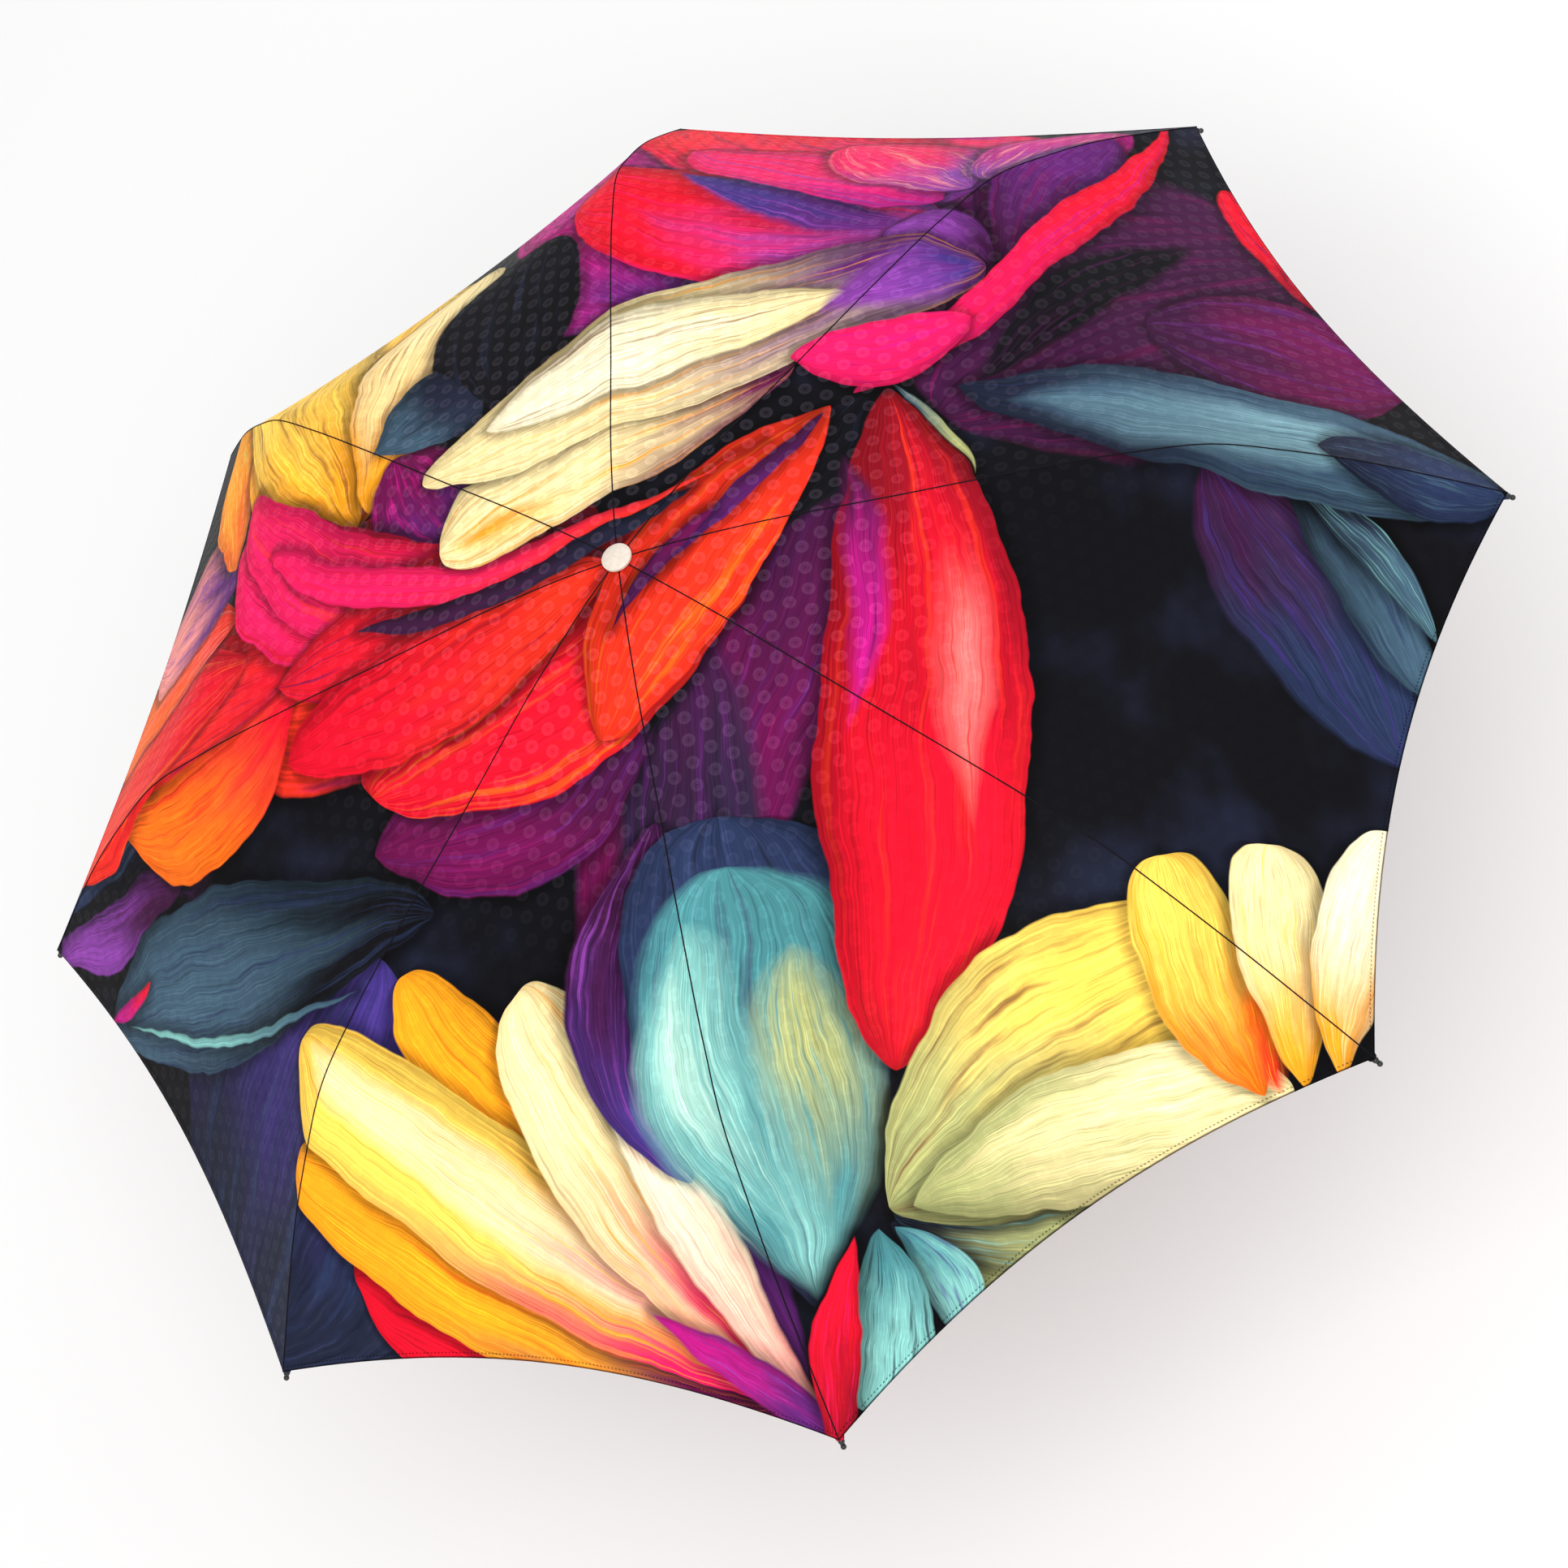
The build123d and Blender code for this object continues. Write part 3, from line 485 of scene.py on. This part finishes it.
def petals_near(points):
    """The petals that reach a piece, from the piece's places on the flat cloth."""
    found = []
    for index, petal in enumerate(PETALS):
        base = np.array(petal[0], float) * MM
        tip = np.array(petal[1], float) * MM
        length = np.linalg.norm(tip - base)
        step = (tip - base) / length
        rel = points - base
        along = rel @ step
        across = rel @ np.array([-step[1], step[0]])
        t = np.clip(along / length, 0, 1)
        off = np.abs(across - petal[3] * MM * 4 * t * (1 - t))
        margin = (WANDER + 12) * MM
        near = (along > -margin) & (along < length + margin) & (off < petal[2] * MM + margin)
        if near.any():
            found.append((index, petal))
    return found


# Sizes of the woven rings in millimetres, and how strongly the disc inside a ring shows.
RING_PITCH = 14.0
RING_OUTER = 4.0
RING_INNER = 2.4
RING_DOT = 0.8
RING_EDGE = 0.3
DISC_LEVEL = 0.64
# Painted sheen: the rings are drawn lighter than dark cloth, as where the satin catches the light, only on one
# side and near the crown: from where, to where.
SHEEN_SIDE_ALONG = (-60.0, 140.0)
SHEEN_FROM_CROWN = (260.0, 120.0)
PAINTED_SHEEN_COLOUR = (0.021, 0.016, 0.023)
# The rings' painted sheen fades away from the crown, from full to faint.
SHEEN_FADE_FROM_CROWN = (380.0, 120.0)
RING_SHEEN_FAINT = 0.34
RING_SHEEN_GAIN = 0.5


def ring_pattern(n, place):
    """Woven rings in staggered rows, each round a fainter disc with a hole: 1 on the ring itself."""
    row = RING_PITCH * 3**0.5
    nearest = None
    for offset in ((0.0, 0.0, 0.0), (RING_PITCH / 2, row / 2, 0.0)):
        turns = n.vector("DIVIDE", n.vector("ADD", place, offset), (RING_PITCH, row, 1.0))
        share = n.vector("SUBTRACT", n.vector("FRACTION", turns), (0.5, 0.5, 0.0))
        local = n.split(n.vector("MULTIPLY", share, (RING_PITCH, row, 1.0)))
        distance = n.vector("LENGTH", n.join(local[0], local[1]))
        nearest = distance if nearest is None else n.math("MINIMUM", nearest, distance)
    disc = n.ramp(nearest, RING_OUTER + RING_EDGE, RING_OUTER - RING_EDGE)
    ring = n.ramp(nearest, RING_INNER - RING_EDGE, RING_INNER + RING_EDGE)
    ring = n.math("MULTIPLY_ADD", ring, 1 - DISC_LEVEL, DISC_LEVEL)
    hole = n.ramp(nearest, RING_DOT - RING_EDGE, RING_DOT + RING_EDGE)
    return n.math("MULTIPLY", n.math("MULTIPLY", disc, ring), hole)


def print_colour(n, place, petals):
    """The print's colour where place is millimetres on the flat cloth."""
    wander = n.noise(n.vector("SCALE", place, scale=0.011), 1.0, 3.0, output=1)
    push = n.vector("SCALE", n.vector("SUBTRACT", wander, (0.5, 0.5, 0.5)), scale=WANDER * 2)
    flat = n.vector("MULTIPLY", n.vector("ADD", place, push), (1.0, 1.0, 0.0))
    cloud = n.noise(n.vector("SCALE", place, scale=0.010), 1.0, 3.0)
    colour = n.mix(n.ramp(cloud, 0.48, 0.75), (*PALETTE["black"], 1), (*PALETTE["ink"], 1))
    for index, petal in petals:
        base, tip, width, bend, base_power, tip_power, base_name, tip_name, streak_name, soft = petal
        length = hypot(tip[0] - base[0], tip[1] - base[1])
        widest = base_power / (base_power + tip_power)
        given = {"Place": flat, "Under": colour, "Base": (*base, 0.0)}
        given["Direction"] = ((tip[0] - base[0]) / length, (tip[1] - base[1]) / length, 0.0)
        given.update({"Length": length, "Width": width, "Bend": bend, "Seed": index * 3.7, "Soft": soft})
        given.update({"Base power": base_power, "Tip power": tip_power})
        given["Peak"] = widest**base_power * (1 - widest) ** tip_power
        colours = {"Base colour": base_name, "Tip colour": tip_name, "Streak colour": streak_name}
        given.update({socket: (*PALETTE[name], 1) for socket, name in colours.items()})
        node = n.add("ShaderNodeGroup", node_tree=PETAL_GROUP)
        for name, value in given.items():
            n.feed(node.inputs[name], value)
        colour = node.outputs[0]
    return colour


STITCH_LENGTH = 2.6 * MM
STITCH_FROM_HEM = 2.4 * MM


def print_material(name, petals):
    """Printed satin with woven rings, which are drawn lighter as painted sheen. The inner face shows the print
    fainter, through the cloth.
    """
    material, shader, n = new_material(name, Specular_IOR_Level=0.05)
    place = n.vector("SCALE", n.add("ShaderNodeUVMap", uv_map="print").outputs[0], scale=1000.0)
    edge = n.split(n.add("ShaderNodeUVMap", uv_map="hem").outputs[0])
    inner = n.add("ShaderNodeAttribute", attribute_name="inner_face").outputs["Fac"]
    colour = print_colour(n, place, petals)
    rings = ring_pattern(n, place)
    # Painted sheen: the woven rings are drawn lighter than the print, more on one side and near the crown, and
    # fainter away from it.
    sheen_lit_print = n.mix(1.0, colour, (1.2, 1.2, 1.2), "MULTIPLY")
    from_crown = n.vector("LENGTH", place)
    sheen_side = n.ramp(n.split(place)[0], *SHEEN_SIDE_ALONG)
    shine = n.math("MAXIMUM", sheen_side, n.ramp(from_crown, *SHEEN_FROM_CROWN))
    sheen_ring_colour = n.mix(shine, sheen_lit_print, PAINTED_SHEEN_COLOUR, "ADD")
    sheen_near_crown = n.ramp(from_crown, *SHEEN_FADE_FROM_CROWN)
    shown = n.math("MULTIPLY", rings, n.math("MULTIPLY_ADD", sheen_near_crown, RING_SHEEN_GAIN, RING_SHEEN_FAINT))
    colour = n.mix(shown, colour, sheen_ring_colour)
    weave = n.noise(n.vector("MULTIPLY", place, (2.2, 6.0, 1.0)), 1.0, 2.0)
    colour = n.mix(0.25, colour, n.mix(weave, (0.6, 0.6, 0.6), (1.35, 1.35, 1.35)), "MULTIPLY")
    stitch_run = n.math("SINE", n.math("MULTIPLY", edge[1], 2 * pi / STITCH_LENGTH))
    line = n.ramp(n.math("ABSOLUTE", n.math("SUBTRACT", edge[0], STITCH_FROM_HEM)), 0.5 * MM, 0.2 * MM)
    stitch = n.math("MULTIPLY", line, n.ramp(stitch_run, -0.5, 0.1))
    border = n.ramp(edge[0], 1.2 * MM, 0.5 * MM)
    dark = n.mix(1.0, colour, (0.16, 0.14, 0.16), "MULTIPLY")
    colour = n.mix(n.math("MAXIMUM", n.math("MULTIPLY", stitch, 0.7), border), colour, dark)
    faint = n.mix(0.45, colour, (0.055, 0.050, 0.058))
    n.feed(shader.inputs["Base Color"], n.mix(inner, colour, faint))
    rough = n.math("ADD", n.math("MULTIPLY", rings, -0.1), n.math("MULTIPLY_ADD", weave, 0.16, 0.48))
    n.feed(shader.inputs["Roughness"], rough)
    height = n.math("ADD", n.math("MULTIPLY", rings, 0.5), n.math("MULTIPLY", weave, 0.5))
    height = n.math("ADD", height, n.math("MULTIPLY", stitch, -2.0))
    n.feed(shader.inputs["Normal"], n.bump(height, 0.35, 0.08 * MM))
    return material


# ---- canopy pieces -----------------------------------------------------------------------------
# Rows of faces across half a gore and along each band, and the sizes of hem, seam and corner pocket.
ACROSS = 14
ALONG = {"top": 22, "middle": 22, "tail": 26}
HEM_FOLD = 3.5 * MM
HEM_LIFT = 0.3 * MM
HEM_ROUND = 0.5 * MM
FAR_FROM_HEM = 10 * MM
SEAM_ROWS = 30
SEAM_SIDES = 8
SEAM_HALF_WIDTH = 0.42 * MM
SEAM_RISE = 0.30 * MM
SEAM_LIFT = 0.1 * MM
CUP_SIDES = 20
CUP_WIDER = 1.15
CUP_IN = 2 * MM
CUP_HEIGHT = -219.4 * MM
# The print at a corner pocket is the print at this share of the rib's length.
CUP_PRINT = 0.985
# Outline of a corner pocket: place along the rib from its end, and radius, in millimetres.
CUP_OUTER = [(-12.0, 1.2), (-9.0, 2.1), (-5.0, 2.7), (-1.5, 2.7), (0.3, 2.2), (0.9, 1.4)]
CUP_INNER = [(0.4, 1.3), (-1.5, 2.2), (-5.0, 2.2), (-9.0, 1.6), (-12.0, 0.9)]


def make_mesh(name, points, faces):
    mesh = bpy.data.meshes.new(name)
    mesh.from_pydata([tuple(p) for p in points], [], faces)
    mesh.update()
    obj = bpy.data.objects.new(name, mesh)
    bpy.context.scene.collection.objects.link(obj)
    return obj


def rows_down(band, inner, outer):
    """Radius and extra thickness of each row of a piece. The tail band ends in the folded hem."""
    rows = ALONG[band]
    if band != "tail":
        return [(inner + (outer - inner) * i / rows, 0.0) for i in range(rows + 1)]
    fold = outer - HEM_FOLD
    flat_rows = rows - 3
    found = [(inner + (fold - inner) * i / flat_rows, 0.0) for i in range(flat_rows + 1)]
    return found + [(fold + HEM_ROUND, HEM_LIFT), (outer - 0.4 * MM, HEM_LIFT), (outer, 0.05 * MM)]


def cloth_piece(rib, side, band, inner_r, outer_r):
    """Half a gore beside one rib, over one of the rib's three sections: a thin closed slab of cloth."""
    azimuth = rib_azimuth(rib)
    rows = ALONG[band]
    outer, lower, normals, places, hems = [], [], [], [], []
    for i in range(rows + 1):
        for j in range(ACROSS + 1):
            m = 0.5 * j / ACROSS
            r, lift = rows_down(band, inner_r(m), outer_r(m))[i]
            point = gore_point(azimuth, side, r, m)
            normal = gore_normal(azimuth, side, r, m)
            outer.append(point + normal * lift)
            lower.append(point - normal * (CLOTH + lift))
            normals.append(normal)
            places.append(print_place(azimuth, side, r, m))
            hems.append((hem_radius(m) - r, 2 * r * m * tan(HALF_STEP)))
    width = ACROSS + 1
    count = len(outer)
    faces, kinds = [], []
    for i in range(rows):
        for j in range(ACROSS):
            a = i * width + j
            quad = (a, a + width, a + width + 1, a + 1)
            quad = quad if side > 0 else quad[::-1]
            faces.append(quad)
            kinds.append(0)
            faces.append(tuple(v + count for v in quad[::-1]))
            kinds.append(1)
    loop = list(range(ACROSS))
    loop += [i * width + ACROSS for i in range(rows)]
    loop += [rows * width + j for j in range(ACROSS, 0, -1)]
    loop += [i * width for i in range(rows, 0, -1)]
    for a, b in zip(loop, loop[1:] + loop[:1]):
        quad = (a, b, b + count, a + count)
        faces.append(quad if side > 0 else quad[::-1])
        kinds.append(0)
    name = f"cloth_{rib}_{'left' if side > 0 else 'right'}_{band}"
    obj = make_mesh(name, outer + lower, faces)
    mesh = obj.data
    print_layer = mesh.uv_layers.new(name="print")
    hem_layer = mesh.uv_layers.new(name="hem")
    loop_normals = []
    for polygon in mesh.polygons:
        polygon.use_smooth = True
        rim = polygon.index >= 2 * rows * ACROSS
        for k in polygon.loop_indices:
            v = mesh.loops[k].vertex_index
            print_layer.data[k].uv = places[v % count]
            hem_layer.data[k].uv = hems[v % count]
            if rim:
                loop_normals.append(tuple(polygon.normal))
            else:
                loop_normals.append(tuple(normals[v % count] * (1 if v < count else -1)))
    mesh.normals_split_custom_set(loop_normals)
    petals = petals_near(np.array(places))
    mesh.materials.append(print_material(name, petals))
    inner = mesh.attributes.new("inner_face", "FLOAT", "FACE")
    inner.data.foreach_set("value", [float(k) for k in kinds])
    area = sum(polygon.area for polygon in mesh.polygons if not kinds[polygon.index])
    fold_with_rib(obj, rib, side, band, inner_r(0), outer_r(0), np.array(outer), area)
    return obj


def band_axes(rib, side, band, r0, r1):
    """A point of the rib, its direction over the band, and the way the cloth spreads from it."""
    azimuth = rib_azimuth(rib)
    start = rib_point(azimuth, r0)
    run = rib_point(azimuth, r1) - start
    run /= np.linalg.norm(run)
    level = np.array([-sin(azimuth), cos(azimuth), 0.0])
    up = np.cross(run, level)
    lean = radians(LEAN[band])
    return start, run, level * side * cos(lean) - up * sin(lean)


def fold_with_rib(obj, rib, side, band, r0, r1, cloth_points, area):
    """The piece follows its rib section."""
    start, run, square = band_axes(rib, side, band, r0, r1)
    along = (cloth_points - start) @ run
    across = (cloth_points - start) @ square
    flat = (float(np.ptp(across)), float(np.ptp(along)))
    area = min(area, 0.999 * flat[0] * flat[1])
    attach(obj, f"rib_{rib}_{band}")
    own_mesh(obj)
    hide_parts("canopy")


def seam(rib, band, r0, r1, material):
    """Raised seam over the rib, a thin rounded cord of thread."""
    azimuth = rib_azimuth(rib)
    side = np.array([-sin(azimuth), cos(azimuth), 0.0])
    points, faces = [], []
    for i in range(SEAM_ROWS + 1):
        r = r0 + (r1 - r0) * i / SEAM_ROWS
        centre = rib_point(azimuth, r)
        step = rib_point(azimuth, r + SMALL_STEP) - rib_point(azimuth, r - SMALL_STEP)
        up = np.cross(step, side)
        up /= np.linalg.norm(up)
        for k in range(SEAM_SIDES):
            a = 2 * pi * k / SEAM_SIDES
            points.append(centre + side * SEAM_HALF_WIDTH * cos(a) + up * (SEAM_RISE * sin(a) + SEAM_LIFT))
    for i in range(SEAM_ROWS):
        for k in range(SEAM_SIDES):
            a, b = i * SEAM_SIDES + k, i * SEAM_SIDES + (k + 1) % SEAM_SIDES
            faces.append((a, b, b + SEAM_SIDES, a + SEAM_SIDES))
    faces.append(tuple(range(SEAM_SIDES))[::-1])
    faces.append(tuple(SEAM_ROWS * SEAM_SIDES + k for k in range(SEAM_SIDES)))
    obj = make_mesh(f"seam_{rib}_{band}", points, faces)
    obj.data.shade_smooth()
    obj.data.materials.append(material)
    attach(obj, f"rib_{rib}_{band}")
    return obj


def corner_cup(rib):
    """The cloth corner sewn into a small pocket over the end of the rib."""
    azimuth = rib_azimuth(rib)
    outward = np.array([cos(azimuth), sin(azimuth), 0.0])
    side = np.array([-sin(azimuth), cos(azimuth), 0.0])
    run = rib_point(azimuth, TIP_R) - rib_point(azimuth, TIP_R - 12 * MM)
    run /= np.linalg.norm(run)
    up = np.cross(run, side)
    centre = outward * (TIP_R - CUP_IN) + np.array([0.0, 0.0, APEX + CUP_HEIGHT])
    outline = CUP_OUTER + CUP_INNER
    points, faces, places = [], [], []
    for along, radius in outline:
        for k in range(CUP_SIDES):
            a = 2 * pi * k / CUP_SIDES
            off = side * cos(a) * CUP_WIDER + up * sin(a)
            point = centre + run * along * MM + off * radius * MM
            points.append(point)
            places.append(point[:2] / hypot(point[0], point[1]) * arc_s[-1] * CUP_PRINT)
    rows = len(outline)
    for i in range(rows):
        for k in range(CUP_SIDES):
            a, b = i * CUP_SIDES + k, i * CUP_SIDES + (k + 1) % CUP_SIDES
            c = (i + 1) % rows * CUP_SIDES + (k + 1) % CUP_SIDES
            d = (i + 1) % rows * CUP_SIDES + k
            faces.append((a, d, c, b))
    obj = make_mesh(f"corner_{rib}", points, faces)
    mesh = obj.data
    mesh.shade_smooth()
    print_layer = mesh.uv_layers.new(name="print")
    hem_layer = mesh.uv_layers.new(name="hem")
    for loop in mesh.loops:
        print_layer.data[loop.index].uv = places[loop.vertex_index]
        hem_layer.data[loop.index].uv = (FAR_FROM_HEM, 0.0)
    mesh.materials.append(print_material(obj.name, petals_near(np.array(places))))
    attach(obj, f"rib_{rib}_tail")
    return obj


thread, thread_shader, thread_nodes = new_material("seam_thread", Roughness=0.95, Specular_IOR_Level=0.05)
grain = thread_nodes.noise(thread_nodes.add("ShaderNodeTexCoord").outputs["Object"], 2500.0, 2.0)
thread_tint = thread_nodes.mix(grain, (0.003, 0.002, 0.004), (0.016, 0.013, 0.018))
thread_nodes.feed(thread_shader.inputs["Base Color"], thread_tint)

for rib in range(1, RIBS + 1):
    for band, inner_r, outer_r in BANDS:
        extras = [seam(rib, band, inner_r(0), outer_r(0), thread)]
        if band == "tail":
            extras.append(corner_cup(rib))
        cloth_piece(rib, 1, band, inner_r, outer_r)
        cloth_piece(rib, -1, band, inner_r, outer_r)


# ---- finishes of the hard parts -----------------------------------------------------------------
# Slot: dark and light colour of the grain, roughness, metal, grain in millimetres, stretch along the shaft,
# depth of the grain in millimetres.
FINISHES = {
    "grip_rubber": ((0.010, 0.010, 0.011), (0.022, 0.022, 0.024), 0.72, 0.0, 0.45, 1, 0.06),
    "core_plastic": ((0.020, 0.020, 0.022), (0.030, 0.030, 0.032), 0.50, 0.0, 1.5, 1, 0.01),
    "grip_plastic": ((0.012, 0.012, 0.013), (0.022, 0.022, 0.023), 0.38, 0.0, 0.9, 1, 0.012),
    "collar_metal": ((0.42, 0.42, 0.43), (0.62, 0.62, 0.64), 0.26, 1.0, 0.5, 0.1, 0.006),
    "steel": ((0.40, 0.40, 0.41), (0.56, 0.56, 0.57), 0.34, 1.0, 0.6, 1, 0.01),
    "tube_chrome": ((0.46, 0.47, 0.48), (0.60, 0.61, 0.62), 0.20, 1.0, 0.35, 60, 0.003),
    "black_plastic": ((0.012, 0.012, 0.013), (0.024, 0.024, 0.026), 0.42, 0.0, 1.0, 1, 0.012),
    "cap_plastic": ((0.66, 0.58, 0.49), (0.74, 0.66, 0.57), 0.36, 0.0, 2.0, 1, 0.008),
    "button_plastic": ((0.30, 0.30, 0.31), (0.38, 0.38, 0.39), 0.30, 0.0, 1.2, 1, 0.01),
    "rib_black_steel": ((0.010, 0.010, 0.011), (0.040, 0.040, 0.042), 0.36, 0.4, 1.2, 1, 0.012),
    "rib_aluminium": ((0.38, 0.39, 0.40), (0.52, 0.53, 0.54), 0.38, 1.0, 0.8, 1, 0.008),
    "rib_wire": ((0.020, 0.020, 0.022), (0.060, 0.060, 0.064), 0.30, 0.8, 0.7, 1, 0.008),
    "tip_plastic": ((0.006, 0.006, 0.007), (0.014, 0.014, 0.015), 0.24, 0.0, 1.4, 1, 0.008),
}


def finish_material(slot):
    """A moulded, plated or painted surface with its own fine grain and slight wear."""
    low, high, rough, metal, size, stretch, depth = FINISHES[slot]
    material, shader, n = new_material(slot, Metallic=metal)
    place = n.vector("SCALE", n.add("ShaderNodeTexCoord").outputs["Object"], scale=1000.0)
    cells = n.vector("DIVIDE", place, (size, size, size * stretch))
    grain = n.noise(cells, 1.0, 3.0, 0.55)
    wear = n.noise(place, 0.06, 4.0, 0.6)
    n.feed(shader.inputs["Base Color"], n.mix(n.ramp(grain, 0.3, 0.7), low, high))
    shine = n.math("MULTIPLY_ADD", grain, 0.08, rough - 0.06)
    n.feed(shader.inputs["Roughness"], n.math("MULTIPLY_ADD", wear, 0.12, shine))
    n.feed(shader.inputs["Normal"], n.bump(grain, 0.6, depth * MM))
    return material


slot_of = {part["node"]: part["material_slot"] for part in frame["record"]["subparts"]}
finishes = {slot: finish_material(slot) for slot in FINISHES}
for name, obj in frame["nodes"].items():
    if name == "canopy":
        continue
    obj.data.materials.clear()
    obj.data.materials.append(finishes[slot_of[name]])

# ---- camera, light and floor -------------------------------------------------------------------
CAMERA_FROM_APEX = Vector((-1.7758, -0.8568, 2.3106))
CAMERA_TURN = (30.798, 22.143, -96.383)
LENS = 119.55
camera_data = bpy.data.cameras.new("camera")
camera_data.lens = LENS
camera_data.sensor_width = 36.0
camera = bpy.data.objects.new("camera", camera_data)
camera.location = Vector((0, 0, APEX)) + CAMERA_FROM_APEX
camera.rotation_euler = [radians(a) for a in CAMERA_TURN]
bpy.context.scene.collection.objects.link(camera)
bpy.context.scene.camera = camera

FLOOR_HALF = 9.0
floor_z = cad_box[0].z - 1 * MM
corners = [(x * FLOOR_HALF, y * FLOOR_HALF, floor_z) for x, y in ((-1, -1), (1, -1), (1, 1), (-1, 1))]
floor = make_mesh("floor", corners, [(0, 1, 2, 3)])
floor_material, floor_shader, _ = new_material("floor", Base_Color=(0.9, 0.9, 0.9), Roughness=0.9)
floor.data.materials.append(floor_material)


def area_light(name, place, aim, size, power):
    data = bpy.data.lights.new(name, "AREA")
    data.size = size
    data.energy = power
    obj = bpy.data.objects.new(name, data)
    obj.location = place
    obj.rotation_euler = (Vector(aim) - Vector(place)).to_track_quat("-Z", "Y").to_euler()
    bpy.context.scene.collection.objects.link(obj)


area_light("key", (-2.0, -0.4, 3.1), (0, 0, APEX), 2.4, 70)
area_light("fill", (1.5, -2.0, 1.6), (0, 0, APEX), 2.2, 18)
world = bpy.data.worlds.new("studio")
world.use_nodes = True
world.node_tree.nodes["Background"].inputs[0].default_value = (1.0, 1.0, 1.0, 1)
world.node_tree.nodes["Background"].inputs[1].default_value = 0.8
bpy.context.scene.world = world
bpy.context.scene.view_settings.view_transform = "Standard"
